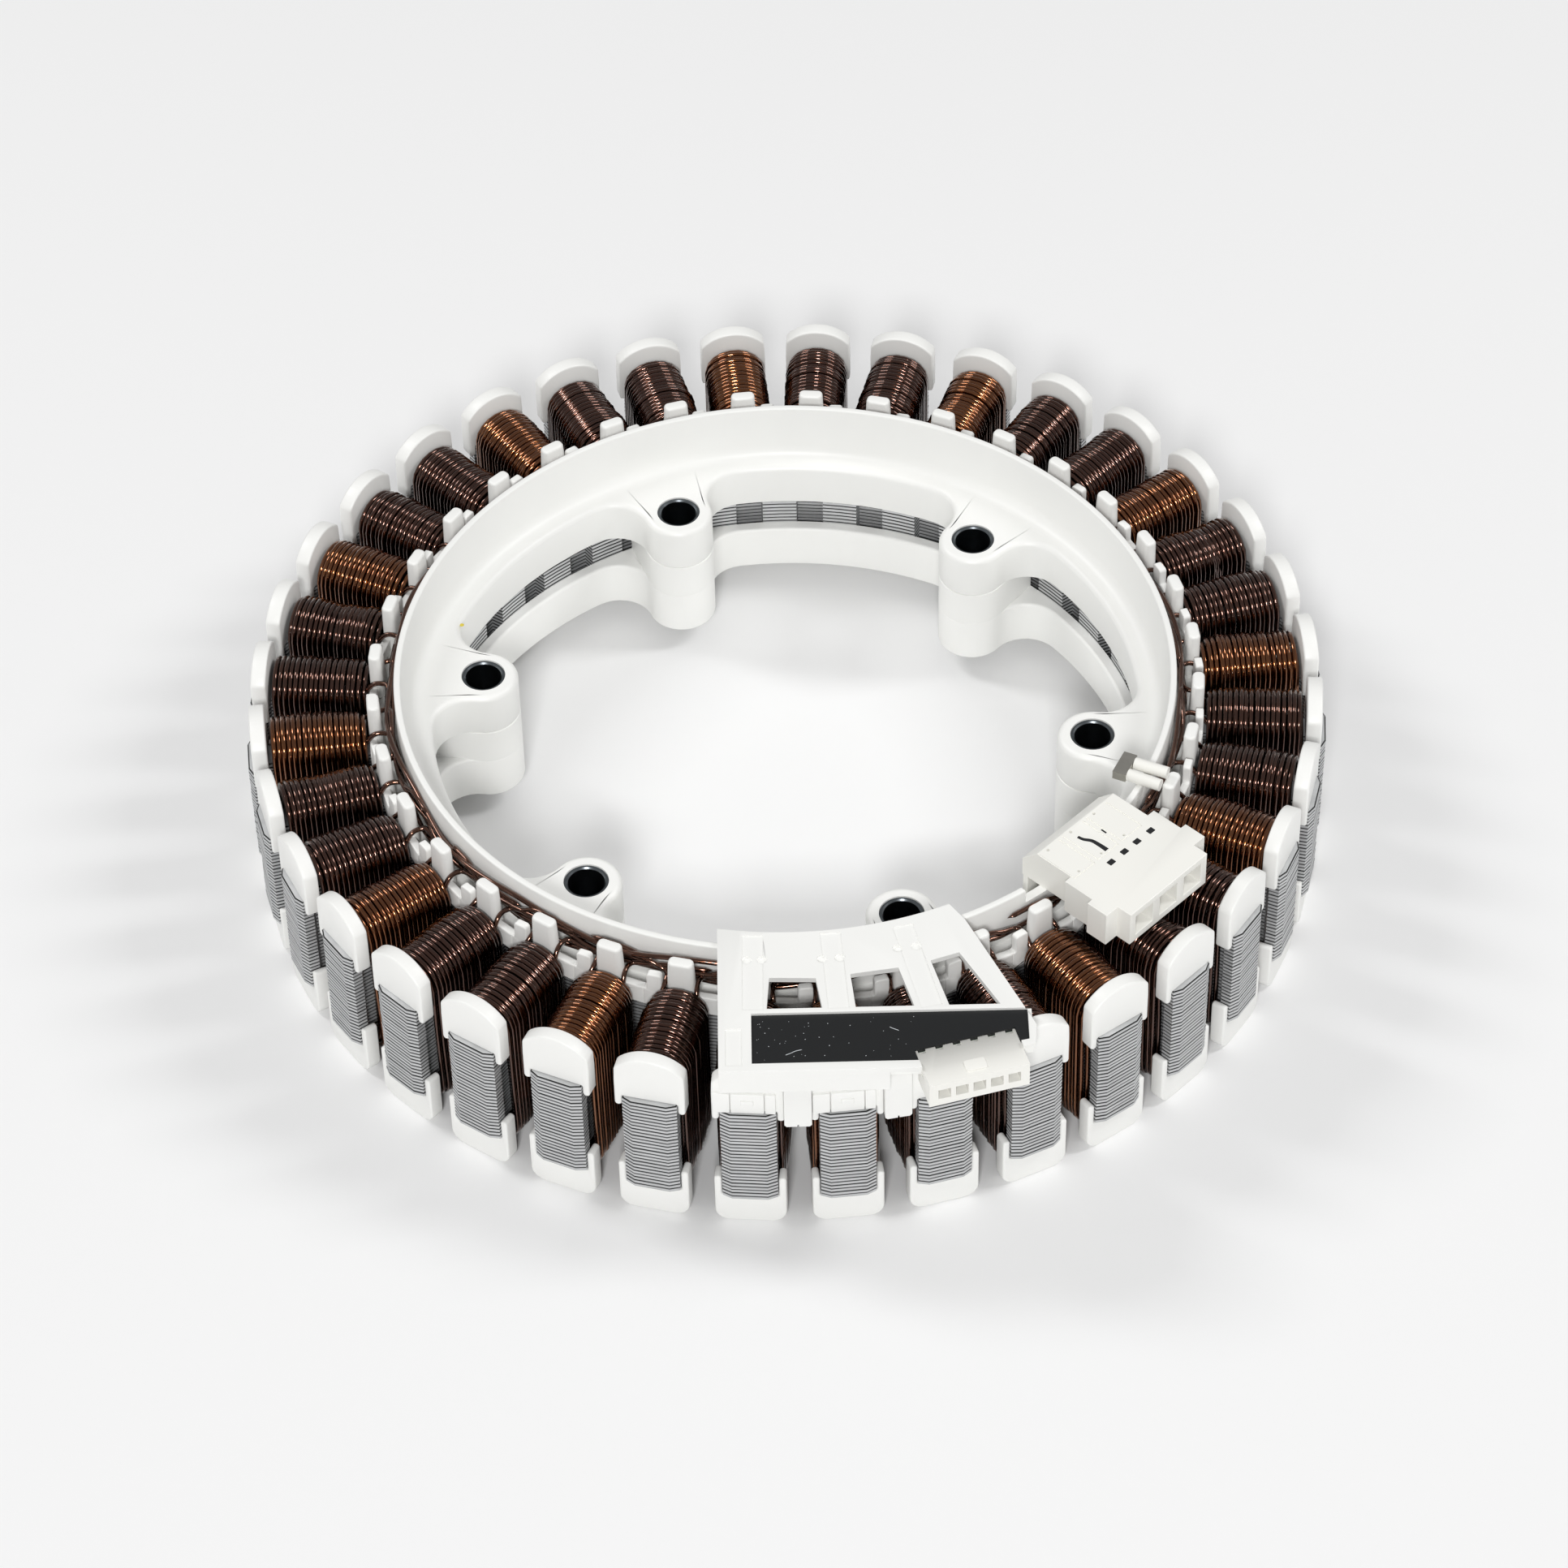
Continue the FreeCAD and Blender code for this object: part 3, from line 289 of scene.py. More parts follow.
def joined(shells):
    """Several shells as one."""
    start = np.cumsum([0] + [len(s["v"]) for s in shells])
    return {"v": np.concatenate([s["v"] for s in shells]),
            "q": np.concatenate([s["q"] + o for s, o in zip(shells, start)]),
            "n": [n + o for s, o in zip(shells, start) for n in s["n"]]}


def tube(path, radius, sides, reference):
    """A round section carried along a path: each station's circle stands on the part of the reference
    direction that lies across the path, and on its cross product with the path. Both ends close to a
    point."""
    tangent = np.gradient(path, axis=0)
    tangent /= np.linalg.norm(tangent, axis=1, keepdims=True) + 1e-12
    one = reference - (reference * tangent).sum(1, keepdims=True) * tangent
    one /= np.linalg.norm(one, axis=1, keepdims=True) + 1e-12
    two = np.cross(tangent, one)
    a = np.linspace(0, 2 * math.pi, sides, endpoint=False)[None, :, None]
    size = np.full(len(path), radius)
    size[[0, -1]] = 0.02 * radius
    ring = path[:, None] + size[:, None, None] * (np.cos(a) * one[:, None] + np.sin(a) * two[:, None])
    ends = np.arange(sides)
    return {"v": ring.reshape(-1, 3), "q": grid_quads(len(path), sides, wrap_cols=True),
            "n": [ends[None, ::-1], ((len(path) - 1) * sides + ends)[None]]}


def smooth_path(points, per_span):
    """A curve through its points: on each span the cubic whose end slopes are half the chord between the
    points on either side."""
    p = np.asarray(points, float)
    p = np.concatenate([2 * p[:1] - p[1:2], p, 2 * p[-1:] - p[-2:-1]])
    t = np.linspace(0, 1, per_span, endpoint=False)[None, :, None]
    a, b, c, d = p[:-3, None], p[1:-2, None], p[2:-1, None], p[3:, None]
    square, cube = 2 * a - 5 * b + 4 * c - d, 3 * b - a - 3 * c + d
    curve = 0.5 * (2 * b + (c - a) * t + square * t ** 2 + cube * t ** 3)
    return np.concatenate([curve.reshape(-1, p.shape[1]), p[-2:-1]])


def from_polar(path):
    """Radius, angle and height to the three axes."""
    return np.stack([path[:, 0] * np.cos(path[:, 1]), path[:, 0] * np.sin(path[:, 1]), path[:, 2]], 1)


def wire_tube(polar, radius, sides=8):
    """A wire laid along a path in radius, angle and height."""
    path = from_polar(polar)
    tangent = np.gradient(path, axis=0)
    tangent /= np.linalg.norm(tangent, axis=1, keepdims=True) + 1e-12
    along = np.stack([-np.sin(polar[:, 1]), np.cos(polar[:, 1]), np.zeros(len(polar))], 1)
    share = np.abs((tangent * along).sum(1, keepdims=True))
    return tube(path, radius, sides, along * (1 - share) + np.array([[0.0, 0.0, 1.0]]) * share)


# ---------------------------------------------------------------- finishes

def sizes():
    return bpy.context.scene.stator_sizes


def colours():
    return bpy.context.scene.stator_finishes


def linear(hex_colour):
    """An sRGB hex value as linear red, green, blue and alpha."""
    values = [int(hex_colour[i:i + 2], 16) / 255 for i in (1, 3, 5)]
    return tuple(v / 12.92 if v <= 0.04045 else ((v + 0.055) / 1.055) ** 2.4 for v in values) + (1.0,)


def times(colour, share):
    """A linear colour made brighter or darker by a share."""
    return tuple(min(1.0, c * share) for c in colour[:3]) + (1.0,)


def once(make):
    """Makes a material at its first use, and finds it by its name after that."""
    def found_or_made(name, *values, **more):
        return bpy.data.materials.get(name) or make(name, *values, **more)
    return found_or_made


def add(tree, kind, settings=(), inputs=(), links=()):
    """Adds a shader node, sets its properties and sockets, and links other nodes' sockets into it."""
    made = tree.nodes.new("ShaderNode" + kind)
    for key, value in dict(settings).items():
        setattr(made, key, value)
    for key, value in dict(inputs).items():
        made.inputs[key].default_value = value
    for key, source in dict(links).items():
        tree.links.new(source, made.inputs[key])
    return made


def object_place(tree):
    """The piece's own coordinates, in metres."""
    return add(tree, "TexCoord").outputs["Object"]


def noise(tree, scale, detail, place=None):
    """Clouds of grey, with about as many cells to a metre as the scale says."""
    return add(tree, "TexNoise", inputs={"Scale": scale, "Detail": detail},
               links={"Vector": place or object_place(tree)}).outputs["Fac"]


def maths(tree, operation, first, second=0.0):
    """One step of arithmetic on a socket and a number or another socket."""
    step = add(tree, "Math", {"operation": operation}, links={0: first})
    if isinstance(second, float):
        step.inputs[1].default_value = second
    else:
        tree.links.new(second, step.inputs[1])
    return step.outputs[0]


def mixed(tree, factor, first, second):
    """Two colours, each a value or another node's socket, mixed by a factor."""
    mix = add(tree, "Mix", {"data_type": "RGBA"}, links={0: factor})
    for end, colour in zip([one for one in mix.inputs if one.type == "RGBA"], (first, second)):
        if isinstance(colour, tuple):
            end.default_value = colour
        else:
            tree.links.new(colour, end)
    return [one for one in mix.outputs if one.type == "RGBA"][0]


def finish(name, roughness, metallic=0.0):
    """A new material, its node tree and its shader."""
    material = bpy.data.materials.new(name)
    material.use_nodes = True
    shader = material.node_tree.nodes["Principled BSDF"]
    shader.inputs["Roughness"].default_value = roughness
    shader.inputs["Metallic"].default_value = metallic
    return material, material.node_tree, shader


@once
def moulded(name, hex_colour, roughness):
    """Injection-moulded plastic: an even milky white with a soft sheen, and a fine mould grain."""
    material, tree, shader = finish(name, roughness)
    shader.inputs["IOR"].default_value = 1.55
    # Real grain is about 0.1 mm; it is drawn at 0.7 mm so that it shows at all.
    bump = add(tree, "Bump", inputs={"Strength": 0.05, "Distance": 0.0001},
               links={"Height": noise(tree, 1400.0, 2.0)})
    white = linear(hex_colour)
    tint = mixed(tree, noise(tree, 60.0, 1.0), white, times(white, 0.965))
    tree.links.new(tint, shader.inputs["Base Color"])
    tree.links.new(bump.outputs["Normal"], shader.inputs["Normal"])
    return material


@once
def enamelled(name, hex_colour, dark):
    """Copper wire under baked enamel: deep and clear like varnish, a tight bright line along each turn."""
    material, tree, shader = finish(name, 0.13, 1.0)
    shader.inputs["Coat Weight"].default_value = 1.0
    shader.inputs["Coat Roughness"].default_value = 0.05
    shader.inputs["Coat IOR"].default_value = 1.5
    tint = mixed(tree, noise(tree, 220.0, 2.0), linear(hex_colour), linear(dark))
    tree.links.new(tint, shader.inputs["Base Color"])
    return material


@once
def plain(name, hex_colour, roughness, metallic=0.0, vary=0.15, scale=300.0):
    """A finish of one colour, a little uneven: brighter and darker by the share given."""
    material, tree, shader = finish(name, roughness, metallic)
    base = linear(hex_colour)
    tint = mixed(tree, noise(tree, scale, 3.0), times(base, 1 - vary), times(base, 1 + vary))
    tree.links.new(tint, shader.inputs["Base Color"])
    return material


def electrical_steel():
    """Punched silicon steel: satin grey where the shear burnished each sheet, dark in the joints."""
    material, tree, shader = finish("Electrical steel, punched and stacked", 0.5, 0.55)
    place = object_place(tree)
    # Shear marks follow the sheet: each cell is about 6 mm long and 0.4 mm high.
    stretch = add(tree, "Mapping", inputs={"Scale": (160.0, 160.0, 2400.0)}, links={"Vector": place})
    tone = add(tree, "ValToRGB", links={"Fac": noise(tree, 1.0, 3.0, stretch.outputs[0])})
    low, high = tone.color_ramp.elements
    low.position, low.color = 0.3, linear("#C2C3C4")
    high.position, high.color = 0.7, linear(colours().steel)
    # Real sheets are 0.5 mm thick; they are drawn at a little over 1 mm so that their joints show.
    pitch = (STACK_TOP - STACK_BOTTOM) / sizes().laminations * METRES
    height = add(tree, "SeparateXYZ", links={"Vector": place}).outputs["Z"]
    from_joint = maths(tree, "PINGPONG", maths(tree, "SUBTRACT", height, STACK_BOTTOM * METRES), pitch / 2)
    sheet = add(tree, "MapRange", inputs={"From Min": pitch * 0.12, "From Max": pitch * 0.26},
                links={"Value": from_joint}).outputs["Result"]
    # The level faces over and under the stack belong to one sheet, so they show no joint.
    normal = add(tree, "NewGeometry").outputs["Normal"]
    upright = maths(tree, "ABSOLUTE", add(tree, "SeparateXYZ", links={"Vector": normal}).outputs["Z"])
    light = maths(tree, "MAXIMUM", sheet, maths(tree, "GREATER_THAN", upright, 0.97))
    tree.links.new(mixed(tree, light, linear("#161616"), tone.outputs["Color"]), shader.inputs["Base Color"])
    return material


def pbt():
    """Glass-filled polyester, shot into a steel mould: clean white with a broad soft sheen."""
    return moulded("PBT, injection moulded", colours().white, 0.42)


def nylon():
    """Unfilled nylon, moulded thin: a shade warmer and glossier than the rings."""
    return moulded("Nylon 66, injection moulded", colours().nylon, 0.36)


def brown_wire():
    """Drawn copper under several coats of brown enamel: nearly black in shade."""
    return enamelled("Copper wire, brown enamel", colours().copper, "#3E2115")


def amber_wire():
    """Drawn copper under clear amber enamel: the metal glows orange through it."""
    return enamelled("Copper wire, amber enamel", colours().amber, "#683712")


def crossover_wire():
    """The wire that runs loose in the channel: dull brown, with short glints."""
    return enamelled("Copper wire, dark enamel", "#6E4632", "#4A2C1E")


def oiled_steel():
    """Tube turned to length and oiled: dark, with a bright ring at the mouth."""
    return plain("Mild steel, turned and oiled", "#6F7478", 0.28, 1.0)


def tinned_brass():
    """Brass strip, stamped and tinned: pale and bright."""
    return plain("Brass, tinned", "#C9C6BE", 0.3, 1.0)


def potting():
    """Resin poured over the board and cured: near black, its gloss dulled by dust."""
    return plain("Epoxy potting, cast", colours().resin, 0.45, vary=0.12, scale=900.0)


def laminate():
    """Pressed glass laminate under solder mask: dull green."""
    return plain("FR-4 laminate", "#2E5A3A", 0.45)


def sensor_epoxy():
    """Epoxy moulded round the chip: flat black."""
    return plain("Epoxy package, moulded", "#202022", 0.5)


def lint():
    """Fibres and dust caught by the resin: pale specks on the black."""
    return plain("Cotton lint", "#C9CDD0", 0.8)


def marker_ink_and_slot_shade():
    """Felt-pen ink, dried: flat black. It also paints the shade of a thin slot on the power connector."""
    return plain("Marker ink and painted slot shade", "#15161A", 0.6)


def inspection_paint():
    """A dab from an inspector's paint pen: dull yellow."""
    return plain("Inspection paint", "#E6D24C", 0.6)


# ---------------------------------------------------------------- pieces

def piece(name, shell, material, slot, replaced=(), sharp=35.0, merge=False):
    """Puts a shell into a mesh in metres, makes its faces point outwards and rides it on the stator."""
    groups = [shell["q"]] + list(shell["n"])
    widths = np.concatenate([np.full(len(group), group.shape[1]) for group in groups])
    corners = np.concatenate([group.reshape(-1) for group in groups])
    mesh = bpy.data.meshes.new(name)
    mesh.vertices.add(len(shell["v"]))
    mesh.vertices.foreach_set("co", (shell["v"] * METRES).astype(np.float32).reshape(-1))
    mesh.loops.add(len(corners))
    mesh.loops.foreach_set("vertex_index", corners.astype(np.int32))
    mesh.polygons.add(len(widths))
    mesh.polygons.foreach_set("loop_start", (np.cumsum(widths) - widths).astype(np.int32))
    mesh.update(calc_edges=True)
    mesh.validate()
    return settle(bpy.data.objects.new(name, mesh), material, slot, replaced, sharp, merge)


def white_piece(name, shell, replaced=(), sharp=35.0, merge=False):
    return piece(name, shell, pbt(), "white_pbt", replaced, sharp, merge)


def settle(thing, material, slot, replaced=(), sharp=20.0, merge=False):
    """Cleans a piece's mesh, gives it its finish and ties it to the stator and the solids it stands for."""
    if thing.name not in bpy.context.scene.collection.objects:
        bpy.context.scene.collection.objects.link(thing)
    mesh = thing.data
    work = bmesh.new()
    work.from_mesh(mesh)
    if merge:
        bmesh.ops.remove_doubles(work, verts=work.verts, dist=1e-6)
    bmesh.ops.recalc_face_normals(work, faces=work.faces)
    work.to_mesh(mesh)
    work.free()
    mesh.shade_smooth()
    mesh.set_sharp_from_angle(angle=math.radians(sharp))
    mesh.materials.clear()
    mesh.materials.append(material)
    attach(thing, "root")
    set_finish(thing, slot)
    if replaced:
        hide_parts(*replaced)
    return thing


def bake(thing):
    """Turns a piece and its modifiers into one plain mesh."""
    bpy.context.view_layer.update()
    shown = thing.evaluated_get(bpy.context.evaluated_depsgraph_get())
    made = bpy.data.meshes.new_from_object(shown)
    thing.modifiers.clear()
    thing.data = made


def cut_away(thing, cutters, sharp=20.0):
    """Takes the cutters' shells out of a piece."""
    material, slot = thing.data.materials[0], thing["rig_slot"]
    tools = []
    for number, shell in enumerate(cutters):
        tool = piece("cutter_{:02d}".format(number), shell, material, slot, merge=True)
        tools.append(tool)
        step = thing.modifiers.new(tool.name, "BOOLEAN")
        step.operation = "DIFFERENCE"
        step.solver = "EXACT"
        step.object = tool
    bake(thing)
    for tool in tools:
        bpy.data.objects.remove(tool)
    return settle(thing, material, slot, sharp=sharp)


def softened(name, node, material, slot, width=0.0):
    """A merged copy of a solid, its flat faces made whole and, where a width is given, its edges rounded."""
    work = bmesh.new()
    work.from_mesh(frame["nodes"][node].data)
    bmesh.ops.remove_doubles(work, verts=work.verts, dist=2e-6)
    bmesh.ops.dissolve_limit(work, angle_limit=math.radians(0.5), verts=work.verts, edges=work.edges)
    mesh = bpy.data.meshes.new(name)
    work.to_mesh(mesh)
    work.free()
    thing = bpy.data.objects.new(name, mesh)
    bpy.context.scene.collection.objects.link(thing)
    if width:
        edges = thing.modifiers.new("Moulded edges", "BEVEL")
        edges.width = width * METRES
        edges.segments = 2
        edges.limit_method = "ANGLE"
        edges.angle_limit = math.radians(35.0)
        edges.use_clamp_overlap = True
    bake(thing)
    return settle(thing, material, slot, (node,))


def carried(node, material):
    """Gives a solid that is shown as it is its finish."""
    mesh = frame["nodes"][node].data
    mesh.materials.clear()
    mesh.materials.append(material)


# ---------------------------------------------------------------- laminated core

def lamination_shell():
    """The plan of the core carried up the stack: within each sheet the outline steps in by a little at both
    faces, so that a groove runs along every joint, and each sheet of each tooth sits a hair in or out."""
    sheets = sizes().laminations
    tip = sizes().tip_radius
    corner = tip - TIP_CHAMFER
    root = math.sqrt(YOKE_RADIUS ** 2 - NECK_HALF ** 2)
    side = np.array([(tip, 1.4), (tip, 4.25), (corner, TIP_HALF), (corner - TIP_SIDE, TIP_HALF),
                     (TIP_BACK, NECK_HALF), (root, NECK_HALF)])
    one = np.concatenate([side[::-1] * (1, -1), side])
    count = len(one)
    plan = spun(one, tooth_angles()).reshape(-1, 2)
    pitch = (STACK_TOP - STACK_BOTTOM) / sheets
    step = np.array([0.0, 0.18, 0.80, 1.0])
    inset = np.array([JOINT_DEPTH, 0.0, 0.0, JOINT_DEPTH])
    level = (STACK_BOTTOM + pitch * (np.arange(sheets)[:, None] + step)).reshape(-1)
    slip = np.random.default_rng(7).uniform(-SHEET_SLIP, SHEET_SLIP, (sheets, TEETH))
    slip = np.repeat(slip, count, axis=1)
    draw = (inset[None, :, None] + SHEET_SLIP + slip[:, None, :]).reshape(len(level), -1)
    outer = plan[None] + left_normals(plan)[None] * draw[..., None]
    # The bore has a shallow notch in each pitch: shares of the pitch and radii.
    notch = np.array([(0.0, BORE), (0.28, BORE), (0.56, BORE), (0.57, NOTCH), (0.78, NOTCH), (0.99, NOTCH)])
    per_tooth = len(notch)
    bore_count = TEETH * per_tooth
    turn = (FIRST_TOOTH - PITCH / 2 + PITCH * (np.arange(TEETH)[:, None] + notch[:, 0] - 0.28)).reshape(-1)
    reach = np.tile(notch[:, 1], TEETH) + np.tile(inset, sheets)[:, None] * 0.6
    bore = reach[..., None] * np.stack([np.cos(turn), np.sin(turn)], -1)[None]
    rows, cols = len(level), len(plan)

    def raised(flat):
        return np.concatenate([flat, np.broadcast_to(level[:, None, None], flat.shape[:2] + (1,))], -1)

    v = np.concatenate([raised(outer).reshape(-1, 3), raised(bore).reshape(-1, 3)])
    base = rows * cols
    quads = np.concatenate([grid_quads(rows, cols, wrap_cols=True),
                            base + grid_quads(rows, bore_count, wrap_cols=True)[:, ::-1]])
    tooth = np.arange(TEETH)[:, None]
    rim = (tooth * count + np.arange(count + 1)) % cols
    hole = (tooth * per_tooth + np.arange(per_tooth + 1)[::-1] + 1) % bore_count
    top = np.concatenate([(rows - 1) * cols + rim, base + (rows - 1) * bore_count + hole], 1)
    low = np.concatenate([rim, base + hole], 1)[:, ::-1]
    return {"v": v, "q": quads, "n": [top, low]}


class STATOR_OT_core(bpy.types.Operator):
    """Stacks the laminated core with a groove at every joint"""
    bl_idname = "stator.core"
    bl_label = "Laminated core"

    def execute(self, context):
        piece("lamination_stack", lamination_shell(), electrical_steel(), "electrical_steel",
              ("lamination_core",), sharp=25.0)
        return {"FINISHED"}


# ---------------------------------------------------------------- moulded rings

def scallop(per_arc=9):
    """The ring's inner edge in plan: arcs of the bore, and round each bolt an arc of the boss between two
    hollow arcs that touch both the boss and the bore."""
    s = sizes()
    sector = math.pi / BOLTS
    reach, span = s.ring_inner - BOSS_FILLET, BOSS_RADIUS + BOSS_FILLET
    x = (reach ** 2 - span ** 2 + s.bolt_circle ** 2) / (2 * s.bolt_circle)
    y = math.sqrt(reach ** 2 - x ** 2)
    on_wall = math.atan2(y, x)
    lean = math.atan2(y, x - s.bolt_circle)
    t = np.linspace(0, 1, per_arc, endpoint=False)
    wall = sector + (on_wall - sector) * t
    hollow = on_wall + (lean - np.pi - on_wall) * t
    lobe = lean + (np.pi - lean) * np.linspace(0, 1, 2 * per_arc)
    half = np.concatenate([
        np.stack([s.ring_inner * np.cos(wall), s.ring_inner * np.sin(wall)], 1),
        np.stack([x + BOSS_FILLET * np.cos(hollow), y + BOSS_FILLET * np.sin(hollow)], 1),
        np.stack([s.bolt_circle + BOSS_RADIUS * np.cos(lobe), BOSS_RADIUS * np.sin(lobe)], 1)])
    one = np.concatenate([half, half[-2:0:-1] * (1, -1)])[::-1]
    return spun(one, bolt_angles()).reshape(-1, 2)


def ring_shell(stations):
    """A closed section carried round the ring: stations on the scalloped edge are drawn in from it along its
    normal, the others lie on circles, close to the angle that the drawn-in edge has reached."""
    edge = anticlockwise(scallop())
    inward = -left_normals(edge)
    drawn_in = edge + inward * FLANGE_EDGE
    angle = np.unwrap(np.arctan2(drawn_in[:, 1], drawn_in[:, 0]))
    even = angle[0] + 2 * math.pi * np.arange(len(angle)) / len(angle)
    # A little even spacing keeps stations from falling together where the edge doubles back.
    angle = 0.93 * np.maximum.accumulate(angle) + 0.07 * even
    rows = []
    for kind, reach, z in stations:
        if kind == "edge":
            flat = edge + inward * reach
        else:
            flat = reach * np.stack([np.cos(angle), np.sin(angle)], 1)
        rows.append(np.concatenate([flat, np.full((len(edge), 1), z)], 1))
    v = np.stack(rows)
    return {"v": v.reshape(-1, 3), "q": grid_quads(len(rows), len(edge), True, True), "n": []}


def turned_edge(z, radius, way, steps=5):
    """Stations of a rounded edge: a quarter circle from the wall to the flat over (1) or under (-1) it."""
    a = np.linspace(0, math.pi / 2, steps)
    return [("edge", radius * (1 - math.cos(v)), z + way * (math.sin(v) - 1) * radius) for v in a]


def circles(points):
    """Stations on circles, from radii and heights."""
    return [("circle", r, z) for r, z in points]


def curve_stations(first, bend, last, steps):
    """Stations of a hollow curve between two points of the section, drawn towards a third."""
    t = np.linspace(0, 1, steps)[:, None]
    first, bend, last = np.array(first), np.array(bend), np.array(last)
    return circles((1 - t) ** 2 * first + 2 * t * (1 - t) * bend + t ** 2 * last)


def boss_holes(low):
    """Cutters for the sleeve bores, from a height up."""
    return at_bolts(disc((sizes().bolt_circle, 0.0), SLEEVE_RADIUS, low, CLEAR_ABOVE, 48, 0.01))


class STATOR_OT_upper_ring(bpy.types.Operator):
    """Moulds the upper ring: flange, bolt bosses, rim and wire channel"""
    bl_idname = "stator.upper_ring"
    bl_label = "Upper ring"

    def execute(self, context):
        outer = sizes().rim_outer
        inner = outer - 1.7
        low = STACK_TOP - 10.2
        section = circles([(WALL_BACK, low)])
        section += turned_edge(low, 0.4, -1, 3)[::-1]
        section += turned_edge(FLANGE_TOP, FLANGE_EDGE, 1, 8)
        section += [("edge", FLANGE_EDGE + 0.06, FLANGE_TOP), ("circle", 90.1, FLANGE_TOP)]
        section += curve_stations((90.2, FLANGE_TOP), (93.1, FLANGE_TOP), (93.5, FLANGE_TOP + 3.8), 9)
        section += circles([(inner, RIM_TOP - 0.5)])
        section += curve_stations((inner + 0.02, RIM_TOP - 0.4), (inner + 0.05, RIM_TOP),
                                  (inner + 0.5, RIM_TOP), 4)
        section += curve_stations((outer - 0.5, RIM_TOP), (outer, RIM_TOP), (outer, RIM_TOP - 0.5), 4)
        section += circles([(outer, CHANNEL_FLOOR), (WALL_FRONT, CHANNEL_FLOOR), (WALL_FRONT, STACK_TOP),
                            (WALL_BACK, STACK_TOP)])
        ring = white_piece("upper_ring", ring_shell(section), sharp=40.0)
        # The rim is cut down where the power connector sits on it.
        gap = slab(box_outline(85.9, 103.4, -17.0, 19.2), POWER_SEAT, CLEAR_ABOVE)
        cut_away(ring, [boss_holes(20.0), at_tooth(gap, POWER_TOOTH)], sharp=40.0)
        dot = disc((-85.6, 17.1), 0.55, FLANGE_TOP - 0.05, FLANGE_TOP + 0.04, 12, 0.01)
        piece("paint_dot", dot, inspection_paint(), "white_pbt", merge=True)
        return {"FINISHED"}


class STATOR_OT_lower_ring(bpy.types.Operator):
    """Moulds the lower ring with its ledge and bolt pillars"""
    bl_idname = "stator.lower_ring"
    bl_label = "Lower ring"

    def execute(self, context):
        floor_z, ledge = STACK_BOTTOM - 2.5, STACK_BOTTOM + 10.1
        section = circles([(WALL_FRONT, floor_z)])
        section += turned_edge(floor_z, 0.6, -1)[::-1]
        section += turned_edge(ledge, 0.8, 1)
        section += [("edge", 0.86, ledge)]
        section += circles([(90.8, ledge), (WALL_BACK, ledge), (WALL_BACK, STACK_BOTTOM),
                            (WALL_FRONT, STACK_BOTTOM)])
        ring = white_piece("lower_ring", ring_shell(section), sharp=40.0)
        cut_away(ring, [boss_holes(0.0)], sharp=40.0)
        a = np.linspace(math.pi / 2, 3 * math.pi / 2, 25)
        lobe = np.stack([sizes().bolt_circle + BOSS_RADIUS * np.cos(a), BOSS_RADIUS * np.sin(a)], 1)
        plan = np.concatenate([lobe, [(90.4, -BOSS_RADIUS), (90.4, BOSS_RADIUS)]])
        pillar = soft_prism(plan, ledge - 0.5, STACK_TOP - 10.3, 0.25, axis=2, steps=2)
        cut_away(white_piece("bolt_pillars", at_bolts(pillar), merge=True), [boss_holes(0.0)])
        return {"FINISHED"}


class STATOR_OT_sleeves(bpy.types.Operator):
    """Turns the six steel sleeves in the bolt bosses"""
    bl_idname = "stator.sleeves"
    bl_label = "Bolt sleeves"

    def execute(self, context):
        low, high = height_of("bolt_sleeves", 0), height_of("bolt_sleeves", 1)
        bore, skin, sides = 4.5, SLEEVE_RADIUS - 0.02, 48
        section = np.array([(bore, low + 0.3), (4.8, low), (5.2, low), (skin, low + 0.3), (skin, high - 0.2),
                            (5.3, high), (4.85, high), (bore, high - 0.35)])
        a = np.linspace(0, 2 * math.pi, sides, endpoint=False)
        r, z = section[:, 0][:, None], section[:, 1][:, None]
        v = np.stack([sizes().bolt_circle + r * np.cos(a), r * np.sin(a), z + 0 * a], -1).reshape(-1, 3)
        one = {"v": v, "q": grid_quads(len(section), sides, True, True), "n": []}
        piece("sleeves", at_bolts(one), oiled_steel(), "sleeve_steel", ("bolt_sleeves",))
        return {"FINISHED"}


# ---------------------------------------------------------------- winding caps

def arch(half_width, shoulder, crest, points=17):
    """A shallow arc from the right shoulder over the crest to the left one."""
    rise = crest - shoulder
    radius = (half_width ** 2 + rise ** 2) / (2 * rise)
    a = np.linspace(1, -1, points) * math.asin(min(1.0, half_width / radius))
    return np.stack([radius * np.sin(a), crest - radius * (1 - np.cos(a))], 1)


